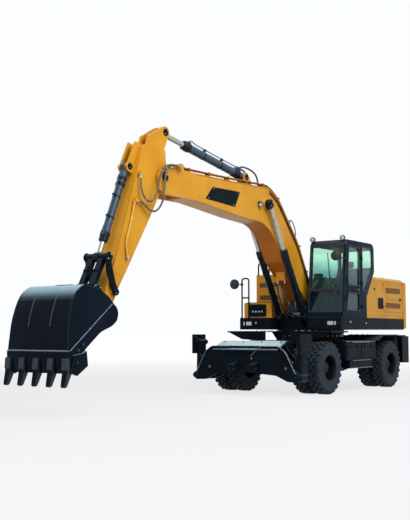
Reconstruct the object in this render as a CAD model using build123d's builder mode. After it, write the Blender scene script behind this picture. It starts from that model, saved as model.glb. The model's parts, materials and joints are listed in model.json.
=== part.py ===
from build123d import *
import math
import os

os.makedirs("parts", exist_ok=True)

# A wheeled excavator, in millimetres. It faces -Y, its left side is +X and it stands on z = 0.
# The origin is the middle of the box around it, at the ground. The slewing axis stands slew_y
# behind that. Every y and z below is measured from the slewing axis and from the ground.
slew_y = 2720

# Clearances
pin_gap = 0.5
side_gap = 6
seat_gap = 0.3

# Wheels and axles
tyre_radius = 527
tyre_width = 280
tyre_outer_x = 1270
twin_gap = 70
bead_radius = 262
flange_radius = 285
sidewall_radius = (flange_radius + tyre_radius) / 2
spindle_radius = 70
spindle_end_x = 1105
hub_x = 1165
kingpin_x = 600
kingpin_radius = 30
yoke_half = 165
knuckle_half = 115
front_axle_y = -1486
rear_axle_y = 1455
axle_z = tyre_radius

# Chassis
frame_half = 360
frame_low = 720
frame_top = 1060
frame_front = -2310
frame_rear = 1900
ring_radius = 700
ring_low = 1200
deck_low = 1300
deck_top = 1550
box_half = 1200
box_front = -650
box_rear = 780
front_fender_top = 1260
rear_fender_top = 1185

# Front stabiliser, in (x, z)
stabiliser_front = -2640
stabiliser_rear = -2310
stabiliser_plate = 25
leg_pivot = (1190, 370)
leg_length = 670
leg_depth = 210
leg_base = (420, 900)
leg_lever = (1055, 604)
foot_size = (440, 390)
foot_face = 1275

# Rear blade, in (y, z)
blade_pivot = (1880, 560)
blade_pin = (2230, 900)
blade_base = (1975, 1130)
blade_lever = (2030, 705)
blade_half = 1265

# Working arm: pins, in (y, z)
boom_foot = (-300, 1900)
boom_tip = (-5480, 3900)
boom_base = (-800, 1560)
boom_eye = (-2180, 3820)
arm_base = (-2700, 4330)
arm_eye = (-5310, 4730)
arm_tip = (-6920, 1500)
bucket_base = (-6240, 3980)
link_pin = (-6880, 2420)
link_pivot = (-6700, 1870)
bucket_pin = (-7150, 1886)

# Working arm: half widths
boom_half = 210
arm_half = 172
tip_ear_inner = arm_half + 10
tip_ear_outer = tip_ear_inner + 53
cheek_inner = boom_half + 12
cheek_outer = cheek_inner + 40
boom_cylinder_x = cheek_outer + 40
link_inner = arm_half + 28
link_outer = link_inner + 35
ear_inner = link_inner
ear_outer = ear_inner + 40

# Cylinders: tube radius, tube length, rod radius, rod length, eye radius, eye width
boom_cylinder = (70, 1600, 45, 1570, 82, 70)
arm_cylinder = (78, 1990, 50, 1760, 85, 100)
bucket_cylinder = (66, 1390, 42, 1270, 75, 100)
leg_cylinder = (48, 600, 28, 600, 46, 60)
blade_cylinder = (42, 355, 24, 345, 36, 56)

# Upper structure
deck_half = 1220
deck_rear = 2330
tail_radius = 2750
cab_inner = boom_cylinder_x + 83
cab_outer = 1234
cab_wall = 60
cab_base_front = -830
cab_roof_front = -660
cab_top = 3180
cab_brow = 3100
cab_rear = 700
glass_thickness = 8
glass_inset = 20
door_thickness = 45
door_rear = 15
door_low = 1620
door_high = 3085
hood_top = 2480
hood_half = 1200
hood_front = 330
hood_wall = 40


def side(x=0):
    """The upright plane along the machine at x, measured in y and z."""
    return Plane(origin=(x, slew_y, 0), x_dir=(0, 1, 0), z_dir=(1, 0, 0))


def level(z):
    """The level plane at z, measured in x and y."""
    return Plane(origin=(0, slew_y, z))


def facing(y):
    """The upright plane across the machine at y, measured in x and z, which faces forward."""
    return Plane(origin=(0, slew_y + y, 0), x_dir=(1, 0, 0), z_dir=(0, -1, 0))


def outline(plane, points):
    """A flat face with straight edges."""
    with BuildSketch(plane) as shape:
        with BuildLine():
            Polyline(*points, close=True)
        make_face()
    return shape.sketch


def plate(points, x_near, x_far, mode=Mode.ADD):
    """A plate with a side outline, between two values of x."""
    extrude(outline(side(x_near), points), amount=x_far - x_near, mode=mode)


def slab(points, z_low, z_high, mode=Mode.ADD):
    """A slab with an outline seen from above."""
    extrude(outline(level(z_low), points), amount=z_high - z_low, mode=mode)


def wall(points, y_rear, y_front, mode=Mode.ADD):
    """A wall with an outline seen from the front."""
    extrude(outline(facing(y_rear), points), amount=y_rear - y_front, mode=mode)


def block(x, y, z, mode=Mode.ADD):
    """A square block between pairs of x, y and z."""
    with Locations((sum(x) / 2, slew_y + sum(y) / 2, sum(z) / 2)):
        Box(abs(x[1] - x[0]), abs(y[1] - y[0]), abs(z[1] - z[0]), mode=mode)


def bar(start, end, radius, mode=Mode.ADD):
    """A round bar between two (x, y, z) points."""
    begin = Vector(*start) + Vector(0, slew_y, 0)
    way = Vector(*end) - Vector(*start)
    with BuildSketch(Plane(origin=begin, z_dir=way)) as shape:
        Circle(radius)
    extrude(shape.sketch, amount=way.length, mode=mode)


def pin(place, radius, x_near, x_far, mode=Mode.ADD):
    """A round bar across the machine at a (y, z) place."""
    bar((x_near, *place), (x_far, *place), radius, mode)


def tube(points, radii, radius, mode=Mode.ADD):
    """A round tube along straight runs with rounded corners."""
    places = [(x, slew_y + y, z) for x, y, z in points]
    with BuildLine() as path:
        FilletPolyline(*places, radius=radii)
    with BuildSketch(Plane(origin=places[0], z_dir=path.line % 0)) as section:
        Circle(radius)
    sweep(section.sketch, path=path.line, mode=mode)


def barrel(base, tip, across, sizes):
    """A cylinder's barrel: the base eye, the bored tube and the gland ring at its mouth."""
    radius, length, rod_radius, rod_length, eye_radius, eye_width = sizes
    base, tip, across = Vector(*base), Vector(*tip), Vector(*across)
    way = (tip - base).normalized()
    root = eye_radius + 30
    bar(base - across * eye_width / 2, base + across * eye_width / 2, eye_radius)
    bar(base, base + way * (root + 20), min(radius, eye_width / 2 - 4))
    bar(base + way * root, base + way * length, radius)
    bar(base + way * (length - 70), base + way * length, radius + 6)
    bore = base + way * (root + 2)
    bar(bore, base + way * (length + 1), rod_radius + pin_gap, Mode.SUBTRACT)


def rod(base, tip, across, sizes):
    """A cylinder's rod with the eye at its end."""
    radius, length, rod_radius, rod_length, eye_radius, eye_width = sizes
    base, tip, across = Vector(*base), Vector(*tip), Vector(*across)
    way = (tip - base).normalized()
    bar(tip - way * rod_length, tip, rod_radius)
    bar(tip - across * eye_width / 2, tip + across * eye_width / 2, eye_radius)


def keep(piece, name):
    """Labels a finished piece and writes it."""
    piece.part.label = name
    export_step(piece.part, f"parts/{name}.step")


# Chassis: a box beam between the axles, with the round pedestal that carries the slewing ring.
with BuildPart() as chassis_frame:
    block((-frame_half, frame_half), (frame_front, frame_rear), (frame_low, frame_top))
    with BuildSketch(level(frame_top)):
        Circle(ring_radius)
    extrude(amount=ring_low - frame_top)
    block((-frame_half, frame_half), (box_front, box_rear), (480, frame_low))
    for y in (front_axle_y, rear_axle_y):
        for x in (-340, 200):
            block((x, x + 140), (y - 110, y + 110), (axle_z + 100, frame_low))
    for x in (-340, 340):
        for inner in (x - 48, x + 32):
            plate([(1860, 1000), (1900, 1000), (1915, 1078), (2000, 1082), (2012, 1150), (1975, 1172),
                   (1930, 1172)], inner, inner + 16)
        pin(blade_base, 16 + pin_gap, x - 60, x + 60, Mode.SUBTRACT)
    for x in (-490, 425):
        plate([(1700, 500), (1800, 720), (1700, 720)], x, x + 65)
    block((-490, 490), (1640, 1760), (500, 720))
    for x in (-490, 470):
        plate([(1700, 500), (1940, 500), (1940, 620), (1840, 720), (1700, 720)], x, x + 20)
    pin(blade_pivot, 30 + pin_gap, -500, 500, Mode.SUBTRACT)
keep(chassis_frame, "chassis_frame")

# Side boxes: a tool box with a step on each side, between the wheels.
with BuildPart() as side_boxes:
    for hand in (1, -1):
        near, far = hand * frame_half, hand * box_half
        plate([(box_front, 650), (box_rear, 650), (box_rear, 1050), (box_front, 1050)], near, far)
        plate([(-480, 480), (600, 480), (600, 650), (-480, 650)], near, far)
        step = sorted((far, far + hand * 40))
        for z in (650, 1032):
            block(step, (-420, 420), (z - 18, z))
keep(side_boxes, "side_boxes")

# Fenders: a bent plate over each pair of wheels, carried by gussets from the chassis. The front one
# covers the rear half of its wheels, and the rear one slopes down ahead of its wheels.
with BuildPart() as fenders:
    for hand in (1, -1):
        near, far = hand * frame_half, hand * 1265
        plate([(-1430, front_fender_top), (box_front - 30, front_fender_top),
               (box_front - 30, front_fender_top - 14), (-1430, front_fender_top - 14)], near, far)
        plate([(800, 1062), (1100, rear_fender_top), (1850, rear_fender_top), (1850, rear_fender_top - 14),
               (1103, rear_fender_top - 14), (806, 1049)], near, far)
        for y, foot, reach, top in ((-1400, 900, 1250, front_fender_top), (-720, 440, 560, front_fender_top),
                                    (1180, 440, 560, rear_fender_top), (1700, 440, 560, rear_fender_top)):
            gusset = [(near, 1060), (hand * 440, 1060), (hand * foot, 1090), (hand * reach, top - 14),
                      (near, top - 14)]
            wall(gusset, y, y - 14)
            block(sorted((near, near - hand * 60)), (y - 14, y), (1060, top - 14))
keep(fenders, "fenders")

# Axles: box beams under the chassis. The front one ends in yokes, the rear one in spindles.
with BuildPart() as front_axle:
    block((-460, 460), (front_axle_y - 85, front_axle_y + 85), (axle_z - 100, axle_z + 100))
    bar((0, front_axle_y - 160, axle_z), (0, front_axle_y + 160, axle_z), 165)
    for hand in (1, -1):
        x = hand * kingpin_x
        for low, high in ((knuckle_half + 3, yoke_half), (-yoke_half, -knuckle_half - 3)):
            block(sorted((hand * 440, x)), (front_axle_y - 62, front_axle_y + 62), (axle_z + low, axle_z + high))
            bar((x, front_axle_y, axle_z + low), (x, front_axle_y, axle_z + high), 62)
        block(sorted((hand * 440, hand * 520)), (front_axle_y - 62, front_axle_y + 62),
              (axle_z - yoke_half, axle_z + yoke_half))
        bar((x, front_axle_y, axle_z - yoke_half - 1), (x, front_axle_y, axle_z + yoke_half + 1),
            kingpin_radius + pin_gap, Mode.SUBTRACT)
keep(front_axle, "front_axle")

with BuildPart() as rear_axle:
    block((-560, 560), (rear_axle_y - 85, rear_axle_y + 85), (axle_z - 100, axle_z + 100))
    bar((0, rear_axle_y - 165, axle_z), (0, rear_axle_y + 165, axle_z), 175)
    bar((-620, rear_axle_y, axle_z), (620, rear_axle_y, axle_z), 99)
    bar((-spindle_end_x, rear_axle_y, axle_z), (spindle_end_x, rear_axle_y, axle_z), spindle_radius)
keep(rear_axle, "rear_axle")

for hand, name in ((1, "knuckle_left"), (-1, "knuckle_right")):
    with BuildPart() as knuckle:
        x = hand * kingpin_x
        bar((x, front_axle_y, axle_z - knuckle_half), (x, front_axle_y, axle_z + knuckle_half), 60)
        bar((x, front_axle_y, axle_z - yoke_half), (x, front_axle_y, axle_z + yoke_half), kingpin_radius)
        bar((x, front_axle_y, axle_z), (hand * 780, front_axle_y, axle_z), 110)
        bar((x, front_axle_y, axle_z), (hand * spindle_end_x, front_axle_y, axle_z), spindle_radius)
    keep(knuckle, name)


# Wheels: two tyres side by side on one deep rim, whose hub turns on a spindle.
def ring(section, hand, y):
    """A ring turned about an axle from a section in x and radius."""
    turned = [(hand * x, axle_z + r) for x, r in section]
    hub = Axis((0, slew_y + y, axle_z), (1, 0, 0))
    revolve(outline(facing(y), turned), axis=hub)


tyre_inner_x = tyre_outer_x - 2 * tyre_width - twin_gap
for corner, hand, y in (("front_left", 1, front_axle_y), ("front_right", -1, front_axle_y),
                        ("rear_left", 1, rear_axle_y), ("rear_right", -1, rear_axle_y)):
    with BuildPart() as tyres:
        for inner in (tyre_inner_x, tyre_outer_x - tyre_width):
            outer = inner + tyre_width
            seat, lip = bead_radius + seat_gap, flange_radius + 8
            ring([(inner + 25, seat), (inner + 25, lip), (inner + 6, lip + 30), (inner, sidewall_radius),
                  (inner + 6, tyre_radius - 57), (inner + 30, tyre_radius - 15), (inner + 62, tyre_radius),
                  (outer - 62, tyre_radius), (outer - 30, tyre_radius - 15), (outer - 6, tyre_radius - 57),
                  (outer, sidewall_radius),
                  (outer - 6, lip + 30), (outer - 25, lip), (outer - 25, seat)], hand, y)
    keep(tyres, f"tyres_{corner}")
    with BuildPart() as rims:
        inner, outer = tyre_inner_x + 8, tyre_outer_x - 8
        middle = (tyre_inner_x + tyre_outer_x) / 2
        disc_in, disc_out, wall_in = middle - 30, middle + 10, 238
        bore = spindle_radius + pin_gap
        ring([(inner, flange_radius), (inner + 16, flange_radius), (inner + 16, bead_radius),
              (outer - 16, bead_radius), (outer - 16, flange_radius), (outer, flange_radius),
              (outer, 250), (outer - 40, wall_in), (disc_out, wall_in - 8), (disc_out, 160),
              (disc_out + 60, 130), (hub_x - 40, 118), (hub_x, 95), (hub_x, 0),
              (spindle_end_x + 1, 0), (spindle_end_x + 1, bore), (disc_in - 60, bore),
              (disc_in - 60, 130), (disc_in, 150), (disc_in, wall_in - 8),
              (inner + 40, wall_in), (inner, 250)], hand, y)
    keep(rims, f"rims_{corner}")

# Front stabiliser: a frame across the machine, whose two plates hold the leg pins.
with BuildPart() as stabiliser_frame:
    pivot_x, pivot_z = leg_pivot
    half = [(0, 970), (740, 970), (1070, 560), (1190, 470), (1290, 400), (1290, 340), (1190, 280),
            (960, 290), (700, 400), (0, 450)]
    whole = half[:-1] + [half[-1]] + [(-x, z) for x, z in reversed(half[1:-1])]
    for rear in (stabiliser_rear, stabiliser_front + stabiliser_plate):
        wall(whole, rear, rear - stabiliser_plate)
    block((-frame_half, frame_half), (stabiliser_front + 10, stabiliser_rear - 10), (450, 900))
    top = [(stabiliser_rear, 1040), (stabiliser_rear, 1060), (stabiliser_front - 60, 890),
           (stabiliser_front - 60, 870)]
    plate(top, -780, 780)
    for x in (-700, -250, 250, 700):
        rib = [(stabiliser_rear - 25, 960), (stabiliser_rear - 25, 1040), (stabiliser_front + 25, 900),
               (stabiliser_front + 25, 880)]
        plate(rib, x - 8, x + 8)
    for hand in (1, -1):
        x, z = hand * pivot_x, pivot_z
        bar((x, stabiliser_rear, z), (x, stabiliser_front, z), 45 + pin_gap, Mode.SUBTRACT)
        x, z = hand * leg_base[0], leg_base[1]
        bar((x, stabiliser_rear, z), (x, stabiliser_front, z), 24 + pin_gap, Mode.SUBTRACT)
        for near in (hand * 180, hand * 260):
            lug = [(stabiliser_front, 470), (stabiliser_front - 90, 470), (stabiliser_front - 160, 520),
                   (stabiliser_front - 160, 600), (stabiliser_front, 650)]
            plate(lug, near, near + hand * 40)
        pin((stabiliser_front - 95, 550), 30, hand * 170, hand * 310, Mode.SUBTRACT)
keep(stabiliser_frame, "stabiliser_frame")

leg_y = (stabiliser_front + stabiliser_rear) / 2
for hand, tag in ((1, "left"), (-1, "right")):
    x, z = hand * leg_pivot[0], leg_pivot[1]
    near, far = leg_y + leg_depth / 2, leg_y - leg_depth / 2
    eye_half = leg_cylinder[5] / 2 + side_gap
    lever_x, lever_z = hand * leg_lever[0], leg_lever[1]
    with BuildPart() as leg:
        bar((x, near, z), (x, far, z), 80)
        bar((x, stabiliser_rear, z), (x, stabiliser_front, z), 45)
        body = [(x - hand * 28, z), (x + hand * 50, z), (x + hand * 44, z + leg_length),
                (x - hand * 36, z + leg_length)]
        wall(body, near, far)
        bar((x, near, z + leg_length), (x, far, z + leg_length), 52)
        web = [(x, z - 60), (lever_x - hand * 55, lever_z - 20), (lever_x, lever_z + 60),
               (x - hand * 20, z + 430)]
        for rear in (near, leg_y - eye_half):
            wall(web, rear, rear - (near - leg_y - eye_half))
        bar((x, near + 1, z + leg_length), (x, far - 1, z + leg_length), 24 + pin_gap, Mode.SUBTRACT)
    keep(leg, f"stabiliser_leg_{tag}")
    with BuildPart() as foot:
        top = z + leg_length
        face = hand * foot_face
        inside = hand * (foot_face - 25)
        block(sorted((inside, face)), (leg_y - foot_size[0] / 2, leg_y + foot_size[0] / 2),
              (top - 235, top - 235 + foot_size[1]))
        for rear in (near + side_gap + 22, far - side_gap):
            ear = [(x - 45 * hand, top - 40), (x, top - 62), (inside, top - 120), (inside, top + 110),
                   (x, top + 62), (x - 45 * hand, top + 40)]
            wall(ear, rear, rear - 22)
        bar((x, near + side_gap + 22, top), (x, far - side_gap - 22, top), 24)
    keep(foot, f"stabiliser_foot_{tag}")
    base = (hand * leg_base[0], leg_y, leg_base[1])
    tip = (lever_x, leg_y, lever_z)
    with BuildPart() as leg_barrel:
        barrel(base, tip, (0, 1, 0), leg_cylinder)
        bar((base[0], stabiliser_rear, base[2]), (base[0], stabiliser_front, base[2]), 24)
    keep(leg_barrel, f"stabiliser_barrel_{tag}")
    with BuildPart() as leg_rod:
        rod(base, tip, (0, 1, 0), leg_cylinder)
    keep(leg_rod, f"stabiliser_rod_{tag}")

# Rear blade: a curved plate with end wings, on two lifting arms and two cylinders.
with BuildPart() as blade_arms:
    for hand in (1, -1):
        near, far = hand * 395, hand * 460
        start, end = blade_pivot, blade_pin
        plate([(start[0] - 40, start[1] + 45), (start[0] + 45, start[1] - 40), (end[0] + 40, end[1] - 45),
               (end[0] - 45, end[1] + 40)], near, far)
        pin(start, 60, near, far)
        pin(end, 60, near, far)
        pin(start, 30, hand * 393, hand * 490)
        pin(end, 28, near, hand * 495)
        pin(blade_lever, 34, hand * 372, far)
keep(blade_arms, "blade_arms")

with BuildPart() as dozer_blade:
    sheet = [(2330, 1160), (2310, 1150), (2370, 1000), (2395, 850), (2370, 690), (2310, 545),
             (2335, 530), (2420, 560), (2425, 720), (2432, 850), (2410, 1010), (2350, 1160)]
    plate(sheet, -blade_half + 12, blade_half - 12)
    wing = [(2110, 600), (2300, 530), (2470, 530), (2475, 1150), (2110, 1150)]
    for hand in (1, -1):
        plate(wing, hand * (blade_half - 12), hand * blade_half)
        for near in (hand * 468, hand * 330):
            plate([(2180, 860), (2230, 835), (2388, 760), (2388, 990), (2230, 965), (2180, 940)],
                  near, near + hand * 22)
        pin(blade_pin, 28 + pin_gap, hand * 300, hand * 500, Mode.SUBTRACT)
    for x in (-800, 0, 800):
        plate([(2300, 700), (2376, 700), (2398, 850), (2374, 1000), (2300, 1000)], x - 10, x + 10)
keep(dozer_blade, "dozer_blade")

with BuildPart() as blade_barrels:
    for x in (-340, 340):
        barrel((x, *blade_base), (x, *blade_lever), (1, 0, 0), blade_cylinder)
        pin(blade_base, 16, x - 48, x + 48)
keep(blade_barrels, "blade_barrels")

with BuildPart() as blade_rods:
    for x in (-340, 340):
        rod((x, *blade_base), (x, *blade_lever), (1, 0, 0), blade_cylinder)
keep(blade_rods, "blade_rods")

# Upper frame: the deck on its slewing ring, with the cheeks of the boom foot and the ears
# of the boom cylinders.
with BuildPart() as upper_frame:
    deck = [(deck_half, -890), (deck_half, deck_rear), (-deck_half, deck_rear), (-deck_half, -1000),
            (-430, -1000), (-400, -690), (380, -690), (380, -850), (430, -890)]
    slab(deck, deck_low, deck_top)
    with BuildSketch(level(ring_low)):
        Circle(ring_radius + 40)
    extrude(amount=deck_low - ring_low)
    for hand in (1, -1):
        cheek = [(600, deck_top), (520, deck_top + 130), (-150, 2010), (-200, 2040), (-400, 2040),
                 (-450, 1960), (-460, 1840), (-620, deck_top)]
        plate(cheek, hand * cheek_inner, hand * cheek_outer)
        for near in (boom_cylinder_x - 62, boom_cylinder_x + 43):
            ear = [(-690, 1350), (-690, 1630), (-748, 1642), (-840, 1645), (-885, 1600), (-890, 1500),
                   (-780, 1350)]
            plate(ear, hand * near, hand * (near + 20))
    pin(boom_foot, 60 + pin_gap, -cheek_outer - 38, cheek_outer + 38, Mode.SUBTRACT)
    for hand in (1, -1):
        pin(boom_base, 35 + pin_gap, hand * (boom_cylinder_x - 72), hand * (boom_cylinder_x + 78), Mode.SUBTRACT)
    block((-110, 110), (-640, -560), (deck_top, deck_top + 70))
keep(upper_frame, "upper_frame")


# Cab: a hollow steel shell with its windows cut, standing on the left of the deck.
def cab_face(z):
    """The y of the cab's leaning front face at a height."""
    lean = (cab_roof_front - cab_base_front) / (cab_brow - deck_top)
    return cab_base_front + (z - deck_top) * lean


def glazing(points, x_near, x_far):
    """A pane that fills a window of the same outline, with a gap all round."""
    pane = offset(outline(side(x_near), points), amount=-seat_gap, mode=Mode.PRIVATE)
    extrude(pane, amount=x_far - x_near)


def vertical_lugs(x, y, face, heights, part, way):
    """Hinge lugs on an upright axis. The leaf's lug carries a pin, which stands in the other's bore."""
    for z in heights:
        low = z if part == "leaf" else z - 52
        bar((x, y, low), (x, y, low + 50), 18)
        block((face + 2, x), sorted((y, y + way * 55)), (low, low + 50))
        block((face, face + 2), sorted((y + way * 30, y + way * 55)), (low, low + 50))
        if part == "leaf":
            bar((x, y, z - 48), (x, y, z + 25), 8)
        else:
            bar((x, y, low - 1), (x, y, low + 51), 8 + pin_gap, Mode.SUBTRACT)


pane_left = cab_outer - glass_inset
pane_right = cab_inner + glass_inset
opening = [(cab_face(door_low) + 110, door_low), (cab_face(door_high) + 75, door_high),
           (door_rear + side_gap, door_high), (door_rear + side_gap, door_low)]
quarter = [(95, 2130), (95, 3090), (606, 3090), (626, 2630), (280, 2130)]
offside = [(cab_face(2080) + 120, 2080), (cab_face(3090) + 95, 3090), (606, 3090), (626, 2630), (280, 2130)]
screen_x = (cab_inner + 32, cab_outer - 48)
screen_z = ((1670, 2115), (2150, 3082))
rear_z = (2650, 3070)
door_panes = [[(cab_face(1700) + 165, 1700), (cab_face(2070) + 160, 2070), (-45, 2070), (-45, 1700)],
              [(cab_face(2230) + 155, 2230), (cab_face(3045) + 130, 3045), (-45, 3045), (-45, 2230)]]

with BuildPart() as cab_frame:
    plate([(cab_base_front, deck_top), (cab_roof_front, cab_brow), (-600, cab_top), (620, cab_top),
           (690, 3110), (cab_rear, 2580), (300, 2010), (300, deck_top)], cab_inner, cab_outer)
    plate([(cab_base_front + 67, deck_top + 60), (cab_roof_front + 60, 3090), (-575, 3120), (600, 3120),
           (632, 3090), (640, 2600), (240, 2030), (240, deck_top + 60)],
          cab_inner + cab_wall, cab_outer - cab_wall, Mode.SUBTRACT)
    plate(opening, cab_outer - 200, cab_outer + 10, Mode.SUBTRACT)
    plate(quarter, cab_outer - 200, cab_outer + 10, Mode.SUBTRACT)
    plate(offside, cab_inner - 10, cab_inner + 200, Mode.SUBTRACT)
    for low, high in screen_z:
        block(screen_x, (-900, -540), (low, high), Mode.SUBTRACT)
    block(screen_x, (560, 760), rear_z, Mode.SUBTRACT)
    vertical_lugs(cab_outer + 24, door_rear + 20, cab_outer, (1800, 2300, 2850), "frame", 1)
keep(cab_frame, "cab_frame")

with BuildPart() as cab_glass:
    glazing(quarter, pane_left, pane_left - glass_thickness)
    glazing(offside, pane_right, pane_right + glass_thickness)
    for low, high in screen_z:
        pane = [(cab_face(z) + inset, z) for z, inset in
                ((low + seat_gap, 25), (high - seat_gap, 25), (high - seat_gap, 33), (low + seat_gap, 33))]
        plate(pane, screen_x[0] + seat_gap, screen_x[1] - seat_gap)
    block((screen_x[0] + seat_gap, screen_x[1] - seat_gap), (660, 668),
          (rear_z[0] + seat_gap, rear_z[1] - seat_gap))
keep(cab_glass, "cab_glass")

with BuildPart() as cab_door:
    leaf = offset(outline(side(cab_outer - door_thickness), opening), amount=-side_gap, mode=Mode.PRIVATE)
    extrude(leaf, amount=door_thickness)
    for window in door_panes:
        plate(window, cab_outer - 100, cab_outer + 10, Mode.SUBTRACT)
    vertical_lugs(cab_outer + 24, door_rear + 20, cab_outer, (1800, 2300, 2850), "leaf", -1)
keep(cab_door, "cab_door")

with BuildPart() as door_glass:
    for window in door_panes:
        glazing(window, pane_left, pane_left - glass_thickness)
keep(door_glass, "door_glass")

seat_x = (cab_inner + cab_outer) / 2
seat_half = (cab_outer - cab_inner) / 2 - 174
with BuildPart() as seat:
    block((seat_x - 150, seat_x + 150), (-90, 190), (deck_top + 60, 1960))
    block((seat_x - seat_half, seat_x + seat_half), (-230, 210), (1960, 2080))
    plate([(130, 2075), (205, 2075), (330, 2640), (250, 2660)], seat_x - seat_half + 30, seat_x + seat_half - 30)
    plate([(262, 2650), (330, 2634), (362, 2800), (290, 2810)], seat_x - 120, seat_x + 120)
keep(seat, "seat")

with BuildPart() as control_console:
    for x in (cab_inner + cab_wall + 25, cab_outer - 159):
        block((x, x + 70), (-260, 180), (deck_top + 60, 2180))
        bar((x + 35, -210, 2180), (x + 35, -225, 2330), 14)
        bar((x + 35, -225, 2300), (x + 35, -232, 2400), 24)
    plate([(-600, deck_top + 60), (-520, deck_top + 60), (-400, 2290), (-440, 2280)], seat_x - 30, seat_x + 30)
    wheel = Plane(origin=(seat_x, slew_y - 418, 2275), z_dir=(0, 0.32, 0.95))
    with BuildSketch(wheel):
        Circle(190)
        Circle(162, mode=Mode.SUBTRACT)
        Rectangle(350, 34)
    extrude(amount=26)
keep(control_console, "control_console")

# Engine housing: a hollow cover behind the cab with a lid on top and a service door on the left.
lid_edge = ((-1000, 1000), (860, 2180))
service = ((1290, 2230), (1700, 2390))
with BuildPart() as engine_hood:
    slab([(hood_half, hood_front), (hood_half, 2320), (-hood_half, 2320), (-hood_half, 640),
          (cab_inner + 5, 640), (cab_inner + 5, hood_front)], deck_top, hood_top)
    shoulders = engine_hood.edges().filter_by(Axis.Y).group_by(Axis.Z)[-1]
    fillet([edge for edge in shoulders if abs(edge.center().X) > hood_half - 1], 80)
    plate([(hood_front - 10, 1985), (hood_front - 10, 2500), (678, 2500)], 300, 1300, Mode.SUBTRACT)
    block((300, 1300), (hood_front - 10, cab_rear + side_gap), (2490, hood_top + 30), Mode.SUBTRACT)
    inside = hood_half - hood_wall
    block((-inside, inside), (740, 2320 - hood_wall), (deck_top, hood_top - hood_wall), Mode.SUBTRACT)
    plate([(370, deck_top), (370, 1985), (690, 2440), (741, 2440), (741, deck_top)], 430, inside,
          Mode.SUBTRACT)
    block(*lid_edge, (hood_top - 80, hood_top + 20), Mode.SUBTRACT)
    block((1100, 1300), *service, Mode.SUBTRACT)
    for x in (-700, 700):
        for near in (x - 62, x + 12):
            pin((850, hood_top + 18), 18, near, near + 50)
            block((near, near + 50), (820, 850), (hood_top - 5, hood_top + 20))
        pin((850, hood_top + 18), 8 + pin_gap, x - 70, x + 70, Mode.SUBTRACT)
    vertical_lugs(hood_half + 22, service[0][0] - 16, hood_half, (1800, 2300), "frame", -1)
keep(engine_hood, "engine_hood")

with BuildPart() as engine_lid:
    (left, right), (front, rear) = lid_edge
    block((left + side_gap, right - side_gap), (front + side_gap, rear - side_gap), (hood_top - 34, hood_top))
    for x in (-700, 700):
        pin((850, hood_top + 18), 16, x - 10, x + 10)
        block((x - 10, x + 10), (850, 900), (hood_top + 2, hood_top + 30))
        block((x - 10, x + 10), (870, 900), (hood_top - 2, hood_top + 3))
        pin((850, hood_top + 18), 8, x - 60, x + 60)
keep(engine_lid, "engine_lid")

with BuildPart() as service_door:
    (front, rear), (low, high) = service
    block((hood_half - 34, hood_half), (front + side_gap, rear - side_gap), (low + side_gap, high - side_gap))
    vertical_lugs(hood_half + 22, service[0][0] - 16, hood_half, (1800, 2300), "leaf", 1)
keep(service_door, "service_door")

with BuildPart() as engine_block:
    block((-750, 350), (1150, 1950), (deck_top, 2250))
keep(engine_block, "engine_block")

with BuildPart() as counterweight:
    corner_y = math.sqrt(tail_radius**2 - deck_half**2)
    with BuildSketch(level(1330)):
        with BuildLine():
            Polyline((deck_half, corner_y), (deck_half, deck_rear), (-deck_half, deck_rear),
                     (-deck_half, corner_y))
            ThreePointArc((-deck_half, corner_y), (0, tail_radius), (deck_half, corner_y))
        make_face()
    extrude(amount=hood_top - 60 - 1330)
    fillet(counterweight.faces().sort_by(Axis.Z)[-1].edges().filter_by(GeomType.CIRCLE), 70)
    for x in (-600, 560):
        plate([(2450, 2410), (2630, 2410), (2590, 2520), (2490, 2520)], x, x + 40)
        pin((2540, 2475), 28, x - 5, x + 45, Mode.SUBTRACT)
keep(counterweight, "counterweight")

# Right side of the deck: the fuel tank, and the tool box with its step in front of it.
with BuildPart() as fuel_tank:
    block((-1150, -430), (-450, 620), (deck_top, 2530))
    fillet(fuel_tank.edges().filter_by(Axis.Z), 40)
    bar((-800, 300, 2530), (-800, 300, 2575), 60)
keep(fuel_tank, "fuel_tank")

with BuildPart() as tool_box:
    block((-1150, -430), (-945, -456), (deck_top, 1880))
    fillet(tool_box.edges().filter_by(Axis.Z), 25)
keep(tool_box, "tool_box")

rail = 17
with BuildPart() as handrails:
    tube([(-1180, -975, deck_top), (-1180, -975, 2430), (-1000, -975, 2430), (-1000, -975, deck_top)],
         [60, 60], rail)
    bar((-1180, -975, 2000), (-1000, -975, 2000), rail)
    tube([(-1120, -380, 2530), (-1120, -380, 2810), (-1120, 540, 2810), (-1120, 540, 2530)], [70, 70], rail)
    bar((-1120, 80, 2530), (-1120, 80, 2810), rail)
keep(handrails, "handrails")

with BuildPart() as mirrors:
    bar((-1180, -975, 2270), (-1180, -975, 2330), rail + 10)
    bar((-1180, -975, 2300), (-1265, -1140, 2300), 10)
    bar((-1180, -975, 2260), (-1180, -975, 2340), rail + seat_gap, Mode.SUBTRACT)
    bar((-1265, -1130, 2300), (-1265, -1165, 2300), 110)
    block((cab_outer, cab_outer + 12), (-685, -635), (2720, 2800))
    tube([(cab_outer + 12, -660, 2760), (cab_outer + 45, -800, 2765), (1185, -1035, 2815)], [60], 10)
    bar((1185, -1030, 2815), (1185, -1060, 2815), 100)
keep(mirrors, "mirrors")

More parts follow.
